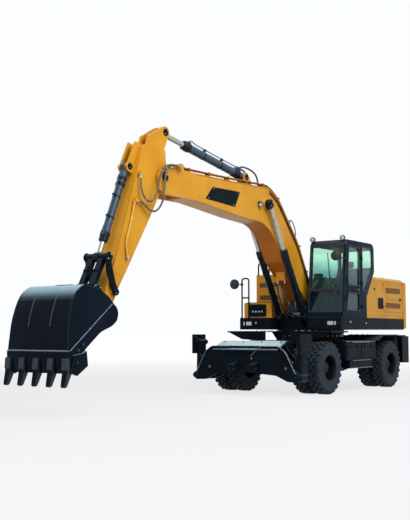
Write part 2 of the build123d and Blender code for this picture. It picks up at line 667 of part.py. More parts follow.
# Hoses: each route is a list of points. Each bend is as large as its two runs allow.
hose_radius = 12
hose_start_y = -5160
hose_top_z = 2330
hose_routes = {
    "arm_hose_outer": [(300, -5160, 4130), (300, -5400, 4130), (308, -5620, 4040), (312, -5725, 3810),
                       (308, -5775, 3590), (296, -5865, 3425), (276, -6000, 3400), (250, -6095, 3520),
                       (225, -6110, 3690), (225, -6110, 3850)],
    "arm_hose_inner": [(262, -5160, 4130), (262, -5340, 4130), (270, -5490, 4040), (284, -5545, 3830),
                       (290, -5560, 3600), (285, -5625, 3400), (272, -5745, 3270), (258, -5890, 3250),
                       (240, -6010, 3340), (225, -6095, 3400), (225, -6200, 3400)],
    "boom_hose_left": [(70, -640, 1590), (70, -800, 1590), (75, -960, 1640), (80, -1090, 1770),
                       (84, -1180, 1940), (84, -1240, 2140), (84, -1240, 2330)],
    "boom_hose_right": [(-60, -640, 1585), (-60, -780, 1585), (-66, -920, 1620), (-74, -1060, 1720),
                        (-80, -1165, 1880), (-84, -1240, 2110), (-84, -1240, 2330)],
}


def bend_radii(points):
    """The radius of each bend: 0.45 of its shorter run, over the tangent of half its turn."""
    places = [Vector(*place) for place in points]
    radii = []
    for before, corner, after in zip(places, places[1:], places[2:]):
        come, leave = corner - before, after - corner
        half_turn = math.radians(come.get_angle(leave)) / 2
        radii.append(0.45 * min(come.length, leave.length) / math.tan(half_turn))
    return radii


for name, route in hose_routes.items():
    radii = bend_radii(route)
    print(name, "radii", [round(radius) for radius in radii])
    with BuildPart() as hose:
        tube(route, radii, hose_radius)
    keep(hose, name)

# Boom: a welded box that bends at its knee, forked at the tip round the arm.
with BuildPart() as boom:
    plate([(-180, 1960), (-860, 3110), (-1240, 3520), (-1640, 3950), (-1860, 4090), (-2080, 4180),
           (-3480, 4130), (-5080, 4090), (-5000, 3800), (-4850, 3620), (-4450, 3600), (-3140, 3480),
           (-2330, 3440), (-2040, 3320), (-1810, 3110), (-1540, 2700), (-420, 1830)], -boom_half, boom_half)
    pin(boom_foot, 140, -boom_half, boom_half)
    pin(boom_foot, 60, -cheek_outer - 20, cheek_outer + 20)
    pin(boom_eye, 120, -boom_cylinder_x + 54, boom_cylinder_x - 54)
    for hand in (1, -1):
        plate([(-4560, 4100), (-5310, 4095), (-5560, 4030), (-5650, 3900), (-5610, 3660), (-5540, 3600),
               (-5300, 3600), (-4560, 3610)], hand * tip_ear_inner, hand * tip_ear_outer)
        lug = [(-2540, 4140), (-2600, 4330), (-2650, 4410), (-2740, 4418), (-2788, 4350), (-2796, 4140)]
        near = arm_cylinder[5] / 2 + side_gap
        plate(lug, hand * near, hand * (near + 30))
    block((150, 335), (hose_start_y, hose_start_y + 70), (4080, 4170))
    block((-110, 110), (-1290, -1190), (hose_top_z, 2520))
    pin(boom_tip, 45 + pin_gap, -tip_ear_outer - 65, tip_ear_outer + 65, Mode.SUBTRACT)
    pin(arm_base, 38 + pin_gap, -120, 120, Mode.SUBTRACT)
keep(boom, "boom")

across = (1, 0, 0)
with BuildPart() as boom_barrels:
    for x in (-boom_cylinder_x, boom_cylinder_x):
        barrel((x, *boom_base), (x, *boom_eye), across, boom_cylinder)
        pin(boom_base, 35, x - 68, x + 68)
keep(boom_barrels, "boom_barrels")

with BuildPart() as boom_rods:
    for x in (-boom_cylinder_x, boom_cylinder_x):
        rod((x, *boom_base), (x, *boom_eye), across, boom_cylinder)
keep(boom_rods, "boom_rods")

with BuildPart() as arm_barrel:
    barrel((0, *arm_base), (0, *arm_eye), across, arm_cylinder)
    pin(arm_base, 38, -95, 95)
keep(arm_barrel, "arm_barrel")

with BuildPart() as arm_rod:
    rod((0, *arm_base), (0, *arm_eye), across, arm_cylinder)
keep(arm_rod, "arm_rod")

# Arm: a tapering box, with ears for the arm cylinder above and the bucket cylinder in front.
with BuildPart() as arm:
    plate([(-5400, 4380), (-5372, 4130), (-5600, 3550), (-5840, 3150), (-6090, 2750), (-6390, 2270),
           (-6600, 1950), (-6815, 1520), (-7015, 1550), (-6620, 2450), (-5985, 4380), (-5700, 4470)],
          -arm_half, arm_half)
    pin(boom_tip, 150, -arm_half, arm_half)
    pin(arm_tip, 105, -arm_half, arm_half)
    for hand in (1, -1):
        near = arm_cylinder[5] / 2 + side_gap
        plate([(-5200, 4700), (-5260, 4610), (-5400, 4300), (-5860, 4300), (-5760, 4600), (-5400, 4810),
               (-5300, 4840), (-5220, 4800)], hand * near, hand * (near + 50))
        near = bucket_cylinder[5] / 2 + side_gap
        plate([(-5900, 4380), (-6090, 4430), (-6270, 4060), (-6332, 3980), (-6300, 3905), (-6235, 3885),
               (-6100, 3850)], hand * near, hand * (near + 40))
    pin(boom_tip, 45, -tip_ear_outer, tip_ear_outer)
    pin(arm_tip, 38, -ear_outer, ear_outer)
    pin(link_pivot, 60, -link_inner + side_gap, link_inner - side_gap)
    pin(link_pivot, 32, -link_outer, link_outer)
    block((arm_half - 5, 255), (-6140, -6080), (3850, 3900))
    block((arm_half - 5, 255), (-6250, -6200), (3370, 3430))
    pin(bucket_base, 34 + pin_gap, -120, 120, Mode.SUBTRACT)
keep(arm, "arm")

with BuildPart() as bucket_barrel:
    barrel((0, *bucket_base), (0, *link_pin), across, bucket_cylinder)
    pin(bucket_base, 34, -100, 100)
keep(bucket_barrel, "bucket_barrel")

with BuildPart() as bucket_rod:
    rod((0, *bucket_base), (0, *link_pin), across, bucket_cylinder)
keep(bucket_rod, "bucket_rod")

# Bucket linkage: two side links on the arm, and the forked link from them to the bucket.
link_pin_radius = 30
with BuildPart() as side_links:
    for hand in (1, -1):
        near, far = hand * link_inner, hand * link_outer
        a, b = link_pivot, link_pin
        plate([(a[0] - 55, a[1] - 20), (a[0] + 55, a[1] + 20), (b[0] + 75, b[1] - 250), (b[0] + 58, b[1] + 5),
               (b[0] - 55, b[1] - 20), (b[0] - 20, b[1] - 250)], near, far)
        pin(a, 60, near, far)
        pin(b, 60, near, far)
        pin(a, 32 + pin_gap, hand * (link_inner - 10), hand * (link_outer + 15), Mode.SUBTRACT)
        pin(b, link_pin_radius + pin_gap, hand * (link_inner - 10), hand * (link_outer + 15), Mode.SUBTRACT)
keep(side_links, "side_links")

with BuildPart() as bucket_link:
    inner = bucket_cylinder[5] / 2 + side_gap
    for hand in (1, -1):
        a, b = link_pin, bucket_pin
        plate([(a[0] - 58, a[1] - 20), (a[0] + 58, a[1] + 20), (b[0] + 58, b[1] + 25), (b[0] - 58, b[1] - 10)],
              hand * inner, hand * (link_inner - 40))
        pin(a, 62, hand * inner, hand * (link_inner - 8))
        pin(a, link_pin_radius, hand * (link_inner - 50), hand * link_outer)
    pin(bucket_pin, 62, -link_inner + 8, link_inner - 8)
keep(bucket_link, "bucket_link")

# Bucket: an open shell with five teeth and two ears, slightly wider at its lip.
def taper(half_low, half_high):
    """The bucket's widening outline from the front: it is cut to this."""
    wall([(-half_low, 400), (half_low, 400), (half_high, 2100), (-half_high, 2100)], -6500, -8500,
         Mode.INTERSECT)


with BuildPart() as bucket_space:
    plate([(-8080, 560), (-8107, 970), (-8072, 1392), (-7995, 1645), (-7922, 1785), (-7770, 1897),
           (-7428, 1832), (-7255, 1735), (-7120, 1602), (-7040, 1300), (-7400, 1000), (-7800, 560)], -700, 700)
    taper(640, 535)

with BuildPart() as bucket:
    plate([(-8105, 640), (-8137, 970), (-8102, 1400), (-8022, 1660), (-7942, 1812), (-7780, 1927),
           (-7420, 1862), (-7240, 1760), (-7082, 1602), (-7170, 1340), (-7460, 1230), (-7810, 970),
           (-7990, 640)], -700, 700)
    taper(665, 560)
    add(bucket_space.part, mode=Mode.SUBTRACT)
    for x in (-600, -300, 0, 300, 600):
        plate([(-8165, 770), (-8208, 470), (-8196, 450), (-8168, 470), (-8062, 690), (-8085, 770)],
              x - 42, x + 42)
    for hand in (1, -1):
        plate([(-8110, 650), (-7985, 610), (-7770, 745), (-7800, 965), (-7870, 930), (-8060, 900)],
              hand * 630, hand * 668)
        plate([(-6830, 1470), (-6920, 1400), (-7010, 1450), (-7110, 1618), (-7252, 1752), (-7425, 1848),
               (-7700, 1900), (-7560, 1955), (-7250, 1978), (-7120, 1965), (-6830, 1560)],
              hand * ear_inner, hand * ear_outer)
        pin(bucket_pin, 80, hand * ear_inner, hand * (ear_outer + 20))
    pin(arm_tip, 38 + pin_gap, -300, 300, Mode.SUBTRACT)
keep(bucket, "bucket")
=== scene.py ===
import json
import math

import bmesh
import bpy
import numpy as np
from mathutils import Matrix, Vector


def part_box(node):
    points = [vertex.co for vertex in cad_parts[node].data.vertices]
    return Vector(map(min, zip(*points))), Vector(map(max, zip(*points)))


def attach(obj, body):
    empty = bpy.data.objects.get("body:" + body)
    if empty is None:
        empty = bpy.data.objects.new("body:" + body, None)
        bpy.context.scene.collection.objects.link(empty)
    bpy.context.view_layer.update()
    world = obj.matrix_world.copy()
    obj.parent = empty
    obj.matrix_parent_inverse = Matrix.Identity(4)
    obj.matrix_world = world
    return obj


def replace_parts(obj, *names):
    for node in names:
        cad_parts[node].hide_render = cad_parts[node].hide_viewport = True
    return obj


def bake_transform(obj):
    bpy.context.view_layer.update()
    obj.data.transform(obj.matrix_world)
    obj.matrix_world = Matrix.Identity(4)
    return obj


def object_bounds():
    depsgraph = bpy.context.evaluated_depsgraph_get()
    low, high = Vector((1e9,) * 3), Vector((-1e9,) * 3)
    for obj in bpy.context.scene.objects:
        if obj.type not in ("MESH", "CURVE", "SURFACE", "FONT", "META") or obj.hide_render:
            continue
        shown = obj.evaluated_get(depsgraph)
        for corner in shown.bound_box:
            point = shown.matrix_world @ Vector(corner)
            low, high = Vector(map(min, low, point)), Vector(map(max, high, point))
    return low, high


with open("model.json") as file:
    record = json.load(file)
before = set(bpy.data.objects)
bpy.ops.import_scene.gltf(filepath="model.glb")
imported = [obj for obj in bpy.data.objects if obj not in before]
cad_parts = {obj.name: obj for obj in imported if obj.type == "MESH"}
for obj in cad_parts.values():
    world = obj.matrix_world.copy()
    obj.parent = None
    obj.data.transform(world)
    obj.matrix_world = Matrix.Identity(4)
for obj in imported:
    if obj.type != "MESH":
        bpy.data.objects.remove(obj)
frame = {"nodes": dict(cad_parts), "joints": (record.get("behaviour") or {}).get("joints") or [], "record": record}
cad_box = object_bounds()
joint_place = {joint["name"]: Vector(joint["pos_m"]) for joint in frame["joints"] if "pos_m" in joint}

# Camera. It stands ahead of the machine and to its left, at chest height, and looks a little upwards through
# a long lens. The places are in metres, the turns in radians and the lens in millimetres.
camera_place = Vector((9.3137, -14.0354, 1.2111))
camera_turn = 0.6304
camera_rise = 0.0863
lens = bpy.data.cameras.new("camera")
lens.sensor_width = 36
lens.lens = 58.846154
camera = bpy.data.objects.new("camera", lens)
camera.location = camera_place
camera.rotation_euler = (math.pi / 2 + camera_rise, 0, camera_turn)
bpy.context.scene.collection.objects.link(camera)
bpy.context.scene.camera = camera


# Studio. A pale floor and an even white room, with one broad lamp high on the left and a weaker one
# in front, so that colours render about as they are written and gloss has something pale to show.
def linear(code):
    """The linear colour of an sRGB hex code, with full opacity."""
    parts = [int(code[i:i + 2], 16) / 255 for i in (1, 3, 5)]
    return [p / 12.92 if p <= 0.04045 else ((p + 0.055) / 1.055) ** 2.4 for p in parts] + [1.0]


def add(tree, kind, inputs=None, **settings):
    """Adds a node, sets its properties, and gives each named input a value or another node's output."""
    node = tree.nodes.new("ShaderNode" + kind)
    for key, value in settings.items():
        setattr(node, key, value)
    for key, value in (inputs or {}).items():
        if isinstance(value, bpy.types.NodeSocket):
            tree.links.new(value, node.inputs[key])
        else:
            node.inputs[key].default_value = value
    return node


def seen_directly(tree):
    """1 where a ray comes from the camera, a mirror or through glass, where the room has to look white."""
    ray = add(tree, "LightPath")
    gloss = add(tree, "Math", {0: ray.outputs["Is Camera Ray"], 1: ray.outputs["Is Glossy Ray"]},
                operation="MAXIMUM")
    return add(tree, "Math", {0: gloss.outputs[0], 1: ray.outputs["Is Transmission Ray"]},
               operation="MAXIMUM").outputs[0]


room = bpy.data.worlds.new("room")
room.use_nodes = True
room.node_tree.nodes.clear()
soft = add(room.node_tree, "Background", {"Color": linear("#E2EDF8"), "Strength": 0.46})
white = add(room.node_tree, "Background", {"Color": linear("#FBFDFF"), "Strength": 1.0})
both = add(room.node_tree, "MixShader",
           {0: seen_directly(room.node_tree), 1: soft.outputs[0], 2: white.outputs[0]})
add(room.node_tree, "OutputWorld", {"Surface": both.outputs[0]})
bpy.context.scene.world = room
bpy.context.scene.view_settings.view_transform = "Standard"

lowest, highest = cad_box
middle = (lowest + highest) / 2
for name, place, width, watts in (("key", (9.0, -3.0, 11.0), 9.0, 1320),
                                  ("fill", (3.0, -15.0, 6.0), 8.0, 440)):
    lamp = bpy.data.lights.new(name, "AREA")
    lamp.size = width
    lamp.energy = watts
    lit = bpy.data.objects.new(name, lamp)
    lit.location = place
    lit.rotation_euler = (middle - Vector(place)).to_track_quat("-Z", "Y").to_euler()
    bpy.context.scene.collection.objects.link(lit)

floor_half = 400.0
floor_mesh = bpy.data.meshes.new("floor")
corners = [(-floor_half, -floor_half, 0), (floor_half, -floor_half, 0), (floor_half, floor_half, 0),
           (-floor_half, floor_half, 0)]
floor_mesh.from_pydata(corners, [], [(0, 1, 2, 3)])
floor = bpy.data.objects.new("floor", floor_mesh)
bpy.context.scene.collection.objects.link(floor)
paper = bpy.data.materials.new("pale_paper")
paper.use_nodes = True
paper.node_tree.nodes.clear()
matt = add(paper.node_tree, "BsdfDiffuse", {"Color": linear("#C4C8CB")})
glow = add(paper.node_tree, "Emission", {"Color": linear("#FFFFFF"), "Strength": 1.0})
spread = add(paper.node_tree, "VectorMath",
             {0: add(paper.node_tree, "TexCoord").outputs["Object"]},
             operation="LENGTH").outputs["Value"]
fade = add(paper.node_tree, "MapRange", {"Value": spread, 1: 7.0, 2: 24.0, 3: 0.75,
                                                   4: 1.0}).outputs[0]
share = add(paper.node_tree, "Math", {0: seen_directly(paper.node_tree), 1: fade},
            operation="MULTIPLY")
blend = add(paper.node_tree, "MixShader", {0: share.outputs[0], 1: matt.outputs[0],
                                                     2: glow.outputs[0]})
add(paper.node_tree, "OutputMaterial", {"Surface": blend.outputs[0]})
floor_mesh.materials.append(paper)


# Hoses. Two rubber pressure hoses hang in loops from the boom's end to the arm, and two climb from the deck
# to the boom's foot. A steel ferrule is crimped on each end.
def finish(name, shade=None):
    """A new material that holds a Principled shader and an output, with the shader's settings."""
    made = bpy.data.materials.new(name)
    made.use_nodes = True
    made.node_tree.nodes.clear()
    shader = add(made.node_tree, "BsdfPrincipled", shade)
    add(made.node_tree, "OutputMaterial", {"Surface": shader.outputs[0]})
    return made, made.node_tree, shader


def object_place(tree):
    """The place on the piece, in metres."""
    return add(tree, "TexCoord").outputs["Object"]


def speckle(tree, size_mm, detail=3.0, stretch=(1, 1, 1)):
    """Noise on Object coordinates whose blotches are about size_mm across, from 0 to 1."""
    moved = add(tree, "Mapping", {"Vector": object_place(tree), "Scale": stretch}).outputs[0]
    return add(tree, "TexNoise", {"Vector": moved, "Scale": 1000 / size_mm,
                                            "Detail": detail}).outputs["Fac"]


def between(tree, share, low, high):
    """A number that goes from low to high as share goes over the middle of its range."""
    return add(tree, "MapRange", {"Value": share, 1: 0.3, 2: 0.7, 3: low, 4: high}).outputs[0]


def shades(tree, share, first, second):
    """A colour that goes from the first to the second as share goes over the middle of its range."""
    held = between(tree, share, 0.0, 1.0)
    mixed = add(tree, "Mix", {0: held, 6: linear(first), 7: linear(second)}, data_type="RGBA")
    return mixed.outputs[2]


def relief(tree, shader, height, depth_mm, normal=None):
    """Bumps the shader's surface by depth_mm where height goes from 0 to 1."""
    settings = {"Height": height, "Strength": 1.0, "Distance": depth_mm / 1000}
    if normal is not None:
        settings["Normal"] = normal
    bump = add(tree, "Bump", settings)
    tree.links.new(bump.outputs[0], shader.inputs["Normal"])


def speckled(name, settings, size_mm, dark, pale, rough=None, depth_mm=0.0, detail=3.0, stretch=(1, 1, 1)):
    """A finish whose colour goes from dark to pale over speckles of size_mm. Its roughness goes with them
    from the first of rough to the second, and they rise by depth_mm."""
    made, tree, shader = finish(name, settings)
    share = speckle(tree, size_mm, detail, stretch)
    tree.links.new(shades(tree, share, dark, pale), shader.inputs["Base Color"])
    if rough:
        tree.links.new(between(tree, share, *rough), shader.inputs["Roughness"])
    if depth_mm:
        relief(tree, shader, share, depth_mm)
    return made


# Vulcanised rubber hose with a woven cover: a soft dark sheen with a fine mottle.
hose_rubber = speckled("woven_rubber_hose", {"Roughness": 0.42, "Specular IOR Level": 0.5}, 9, "#23272B",
                       "#3A4046", depth_mm=0.8)

# Spiral guard: a strip of glossy grey-black polyethylene wound round each hose, in dusty patches.
guard_plastic = speckled("polyethylene_spiral_guard", {"Roughness": 0.3, "Specular IOR Level": 0.5}, 25,
                         "#34393A", "#8E8A74")

# Zinc-plated steel fittings: a pale, slightly yellow metal with a cloudy shine.
plated_steel = speckled("zinc_plated_steel", {"Metallic": 1.0}, 30, "#A9A698", "#C3C2B8", (0.25, 0.42))


def grid_faces(rows, columns, round_rows=False):
    """The quads between rows of points that are numbered row by row. Each row closes on itself, and the last
    row joins the first if asked."""
    i = np.arange(rows if round_rows else rows - 1)[:, None]
    j = np.arange(columns)[None, :]
    k, m = (i + 1) % rows, (j + 1) % columns
    quads = np.stack([i * columns + j, k * columns + j, k * columns + m, i * columns + m], axis=-1)
    return quads.reshape(-1, 4).tolist()


def capped_faces(rows, columns):
    """The quads between rows of points, and the first and the last row as two flat faces."""
    last = (rows - 1) * columns
    return grid_faces(rows, columns) + [list(range(columns)), list(range(last, last + columns))]


def heading(line):
    """The way along a line at each of its points, with length one."""
    ahead = np.gradient(line, axis=0)
    return ahead / np.linalg.norm(ahead, axis=1, keepdims=True)


def distances(line):
    """How far along a line each of its points lies."""
    return np.concatenate([[0], np.cumsum(np.linalg.norm(np.diff(line, axis=0), axis=1))])


def sweep(section, path, across=(1, 0, 0)):
    """A closed section carried along a path. Each ring is the path's point plus the section's two numbers
    times two directions square to the path: its side, which is square to across, and its rise."""
    path, section = np.asarray(path, float), np.asarray(section, float)
    ahead = heading(path)
    side_way = np.cross(ahead, np.asarray(across, float))
    side_way /= np.linalg.norm(side_way, axis=1, keepdims=True)
    rise = np.cross(side_way, ahead)
    points = (path[:, None] + section[None, :, :1] * side_way[:, None]
              + section[None, :, 1:] * rise[:, None])
    rows, columns = len(path), len(section)
    return points.reshape(-1, 3), capped_faces(rows, columns)


def circle(radius, steps=16):
    """Points round a circle: radius times the cosine and sine of even steps."""
    turn = np.arange(steps) / steps * math.tau
    return np.stack([radius * np.cos(turn), radius * np.sin(turn)], axis=1)


def tube(radius, steps, path, across):
    """A round bar along a path."""
    return sweep(circle(radius, steps), path, across)


def lathe(profile, base, axis, steps=24, ring=False):
    """A profile of (distance along the axis, radius) turned about the axis from base. A ring's profile is a
    closed outline; otherwise both ends get flat caps."""
    profile = np.asarray(profile, float)
    axis = Vector(axis).normalized()
    u = axis.orthogonal().normalized()
    v = axis.cross(u)
    turn = np.arange(steps) / steps * math.tau
    spoke = np.cos(turn)[:, None] * np.array(u) + np.sin(turn)[:, None] * np.array(v)
    points = (np.array(base)[None, None] + profile[:, None, :1] * np.array(axis)
              + profile[:, None, 1:] * spoke[None])
    rows = len(profile)
    return points.reshape(-1, 3), grid_faces(rows, steps, True) if ring else capped_faces(rows, steps)


def join(*shapes):
    """Several shapes as one: their points in a row, and their faces counted on."""
    points, faces, count = [], [], 0
    for some_points, some_faces in shapes:
        points.append(some_points)
        faces += [[corner + count for corner in face] for face in some_faces]
        count += len(some_points)
    return np.concatenate(points), faces


def make(name, shape, material, body, bevel_mm=0.0, crease=35):
    """A mesh piece from a shape or a list of them, merged and turned outwards, with sharp edges kept past
    crease degrees. It rides on a body, unless body is None."""
    if isinstance(shape, list):
        shape = join(*shape)
    mesh = bpy.data.meshes.new(name)
    mesh.from_pydata(shape[0].tolist(), [], shape[1])
    work = bmesh.new()
    work.from_mesh(mesh)
    bmesh.ops.remove_doubles(work, verts=work.verts, dist=1e-6)
    bmesh.ops.recalc_face_normals(work, faces=work.faces)
    work.to_mesh(mesh)
    work.free()
    mesh.polygons.foreach_set("use_smooth", [True] * len(mesh.polygons))
    mesh.set_sharp_from_angle(angle=math.radians(crease))
    mesh.materials.append(material)
    piece = bpy.data.objects.new(name, mesh)
    bpy.context.scene.collection.objects.link(piece)
    if bevel_mm:
        rounding = piece.modifiers.new("rounding", "BEVEL")
        rounding.width = bevel_mm / 1000
        rounding.segments = 2
        rounding.limit_method = "ANGLE"
        rounding.angle_limit = math.radians(crease)
    if body:
        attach(piece, body)
    return piece


def smooth_route(points):
    """The line of a NURBS spline that has the route's points as its control points."""
    curve = bpy.data.curves.new("route", "CURVE")
    curve.dimensions = "3D"
    spline = curve.splines.new("NURBS")
    spline.points.add(len(points) - 1)
    for corner, point in zip(spline.points, points):
        corner.co = (*point, 1.0)
    spline.order_u = 3
    spline.use_endpoint_u = True
    spline.resolution_u = 10
    guide = bpy.data.objects.new("route", curve)
    bpy.context.scene.collection.objects.link(guide)
    bpy.context.view_layer.update()
    line = bpy.data.meshes.new_from_object(guide)
    places = np.empty(len(line.vertices) * 3)
    line.vertices.foreach_get("co", places)
    bpy.data.objects.remove(guide)
    return places.reshape(-1, 3)


# Both files measure the routes from the slewing axis.
slewing_y = joint_place["slewing"].y
hose_width = 0.024
hoses = {
    "arm_hose_outer": ("boom", "arm", [
        (0.3, -5.16, 4.13), (0.3, -5.4, 4.13), (0.308, -5.62, 4.04), (0.312, -5.725, 3.81),
        (0.308, -5.775, 3.59), (0.296, -5.865, 3.425), (0.276, -6.0, 3.4), (0.25, -6.095, 3.52),
        (0.225, -6.11, 3.69), (0.225, -6.11, 3.85)]),
    "arm_hose_inner": ("boom", "arm", [
        (0.262, -5.16, 4.13), (0.262, -5.34, 4.13), (0.27, -5.49, 4.04), (0.284, -5.545, 3.83),
        (0.29, -5.56, 3.6), (0.285, -5.625, 3.4), (0.272, -5.745, 3.27), (0.258, -5.89, 3.25),
        (0.24, -6.01, 3.34), (0.225, -6.095, 3.4), (0.225, -6.2, 3.4)]),
    "boom_hose_left": ("upper", "boom", [
        (0.07, -0.64, 1.59), (0.07, -0.8, 1.59), (0.075, -0.96, 1.64), (0.08, -1.09, 1.77),
        (0.084, -1.18, 1.94), (0.084, -1.24, 2.14), (0.084, -1.24, 2.33)]),
    "boom_hose_right": ("upper", "boom", [
        (-0.06, -0.64, 1.585), (-0.06, -0.78, 1.585), (-0.066, -0.92, 1.62), (-0.074, -1.06, 1.72),
        (-0.08, -1.165, 1.88), (-0.084, -1.24, 2.11), (-0.084, -1.24, 2.33)]),
}


def wound(line, first, last, radius, pitch, width, thick):
    """A strip wound round a line between two shares of its length. Its centre turns once per pitch, and its
    ring holds the strip's inner and outer edges, half a width before and after along the line."""
    run = distances(line)
    way = np.gradient(line, axis=0)
    distance = np.arange(first * run[-1], last * run[-1], pitch / 12)
    turn = (distance / pitch * math.tau)[:, None]
    rings = []
    for shift, reach in ((-width / 2, radius), (width / 2, radius), (width / 2, radius + thick),
                         (-width / 2, radius + thick)):
        place, ahead = (np.column_stack([np.interp(distance + shift, run, values[:, axis])
                                         for axis in range(3)]) for values in (line, way))
        ahead /= np.linalg.norm(ahead, axis=1, keepdims=True)
        side = np.cross(ahead, (1, 0, 0))
        side /= np.linalg.norm(side, axis=1, keepdims=True)
        rings.append(place + reach * (np.cos(turn) * side + np.sin(turn) * np.cross(ahead, side)))
    points = np.stack(rings, axis=1).reshape(-1, 3)
    count = len(distance)
    return points, capped_faces(count, 4)


for name, (first_body, last_body, route) in hoses.items():
    line = smooth_route([(x, y + slewing_y, z) for x, y, z in route])
    length = float(distances(line)[-1])
    hose = make(name + "_rubber", sweep(circle(hose_width / 2), line), hose_rubber, None)
    for body, end, towards in ((first_body, line[0], line[1]), (last_body, line[-1], line[-2])):
        way = Vector(towards) - Vector(end)
        crimp = lathe([(0, 0.02), (0.018, 0.02), (0.019, 0.0165), (0.06, 0.0165), (0.063, 0.0125)], end, way,
                      12)
        make(f"{name}_ferrule_{body}", crimp, plated_steel, body)
    guard = make(f"{name}_guard", wound(line, 0.08, 0.92, hose_width / 2, 0.022, 0.014, 0.006),
                 hose_rubber if first_body == "upper" else guard_plastic, None)
    for piece in (hose, guard):
        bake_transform(piece)
    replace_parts(hose, name)


# Chassis. Welded plate of 12 to 20 mm, sprayed with a charcoal enamel. The slewing ring is bolted on its
# round pedestal, and the gearbox and the two drive shafts hang under the frame.
def at(x, y, z):
    """A place whose y is measured from the slewing axis."""
    return Vector((x, y + slewing_y, z))


def dress(material, *nodes):
    """Gives CAD nodes a finish."""
    for node in nodes:
        for material_slot in frame["nodes"][node].material_slots:
            material_slot.material = material


X, Y, Z = Vector((1, 0, 0)), Vector((0, 1, 0)), Vector((0, 0, 1))
sides = ((1, "left"), (-1, "right"))


def enamel(name, deep, pale, rubbed, gloss=0.3, edge_mm=6, dust="#4B443A", shine=0.08, turned=()):
    """Sprayed enamel on steel plate: slow patches of colour, a shallow waviness that breaks up reflections,
    rounded edges drawn paler in the rubbed colour, partly as rubbed paint and partly as a painted highlight, and
    corners darkened by ambient occlusion and tinted with the dust colour, which is painted shade. Each of turned
    is a way, the least and most of its dot product with the face's normal, and the colour and share that mix in
    between, which paints light and shade by the way a face looks."""
    made, tree, shader = finish(name, {"Specular IOR Level": shine})
    round_edge = add(tree, "Bevel", {"Radius": edge_mm / 1000}, samples=4).outputs[0]
    flat = add(tree, "NewGeometry").outputs["Normal"]
    same = add(tree, "VectorMath", {0: round_edge, 1: flat},
               operation="DOT_PRODUCT").outputs["Value"]
    # Paler along rounded edges in the rubbed colour: partly rubbed paint, partly a painted highlight.
    rubbed_edge_and_highlight_share = add(tree, "MapRange", {"Value": same, 1: 0.99, 2: 0.88, 3: 0.0, 4: 0.8}).outputs[0]
    # Darker in corners and crevices by ambient occlusion, tinted with the dust colour: painted shade.
    occlusion_for_painted_shade = add(tree, "AmbientOcclusion", {"Distance": 0.16}, samples=4).outputs["AO"]
    corner_shade_share = add(tree, "MapRange", {"Value": occlusion_for_painted_shade, 1: 0.75, 2: 0.2, 3: 0.0, 4: 0.55}).outputs[0]
    coat = shades(tree, speckle(tree, 650), deep, pale)
    coat_with_corner_shade = add(tree, "Mix", {0: corner_shade_share, 6: coat, 7: linear(dust)}, data_type="RGBA",
                blend_type="MULTIPLY").outputs[2]
    coat_worn_with_painted_light = add(tree, "Mix", {0: rubbed_edge_and_highlight_share, 6: coat_with_corner_shade, 7: linear(rubbed)}, data_type="RGBA").outputs[2]
    # Colours mixed in by which way a face looks: painted light and shade.
    for way, least, most, colour, share in turned:
        upright = add(tree, "TexCoord").outputs["Normal"]
        facing = add(tree, "VectorMath", {0: upright, 1: way},
                     operation="DOT_PRODUCT").outputs["Value"]
        facing_light_share = add(tree, "MapRange", {"Value": facing, 1: least, 2: most, 3: 0.0,
                                                4: share}).outputs[0]
        coat_worn_with_painted_light = add(tree, "Mix", {0: facing_light_share, 6: coat_worn_with_painted_light, 7: linear(colour)}, data_type="RGBA").outputs[2]
    tree.links.new(coat_worn_with_painted_light, shader.inputs["Base Color"])
    tree.links.new(between(tree, speckle(tree, 120), gloss, gloss + 0.14), shader.inputs["Roughness"])
    relief(tree, shader, speckle(tree, 90, 2.0), 0.5, round_edge)
    return made


# Charcoal enamel: nearly black, a little blue, with a soft shine, pale edges that are partly rubbed and partly a
# painted highlight, and a grey-blue painted sky reflection on what faces up.
charcoal = enamel("charcoal_enamel", "#0A1318", "#131F27", "#3B4B56", 0.24, shine=0.03,
                  turned=[(Z, 0.25, 0.9, "#5E727E", 0.35)])
dress(charcoal, "chassis_frame", "side_boxes", "fenders", "front_axle", "rear_axle", "knuckle_left",
      "knuckle_right", "stabiliser_frame", "stabiliser_leg_left", "stabiliser_leg_right",
      "stabiliser_foot_left", "stabiliser_foot_right", "blade_arms", "dozer_blade", "upper_frame",
      "handrails", "mirrors", "side_links", "bucket_link")


def rounded(outline, reach, closed=True, steps=4):
    """A line with its corners turned into curves. Each starts and ends reach before and after its corner, or
    0.45 of the shorter side, and mixes start, corner and end by (1-t)^2, 2t(1-t) and t^2."""
    outline = np.asarray(outline, float)
    back, on = np.roll(outline, 1, axis=0) - outline, np.roll(outline, -1, axis=0) - outline
    back_length = np.linalg.norm(back, axis=1, keepdims=True)
    on_length = np.linalg.norm(on, axis=1, keepdims=True)
    held = np.minimum(reach, 0.45 * np.minimum(back_length, on_length))
    start, end = outline + back / back_length * held, outline + on / on_length * held
    t = np.linspace(0, 1, steps)[None, :, None]
    curve = (1 - t) ** 2 * start[:, None] + 2 * t * (1 - t) * outline[:, None] + t ** 2 * end[:, None]
    if closed:
        return curve.reshape(-1, outline.shape[1])
    return np.concatenate([outline[:1], curve[1:-1].reshape(-1, outline.shape[1]), outline[-1:]])


def oblong(width, height, corner):
    """A rectangle about its middle, with rounded corners."""
    half, tall = width / 2, height / 2
    return rounded([(-half, -tall), (half, -tall), (half, tall), (-half, tall)], corner)


def lay(outline, corner, u, v):
    """The points of an outline measured along u and v from a corner."""
    outline = np.asarray(outline, float)
    return np.array(corner, float) + outline[:, :1] * np.array(u, float) + outline[:, 1:] * np.array(v, float)


def plate(outline, corner, u, v, depth):
    """A flat plate: an outline laid along u and v from a corner, and its copy moved by depth."""
    face = lay(outline, corner, u, v)
    return np.concatenate([face, face + np.array(depth, float)]), capped_faces(2, len(face))


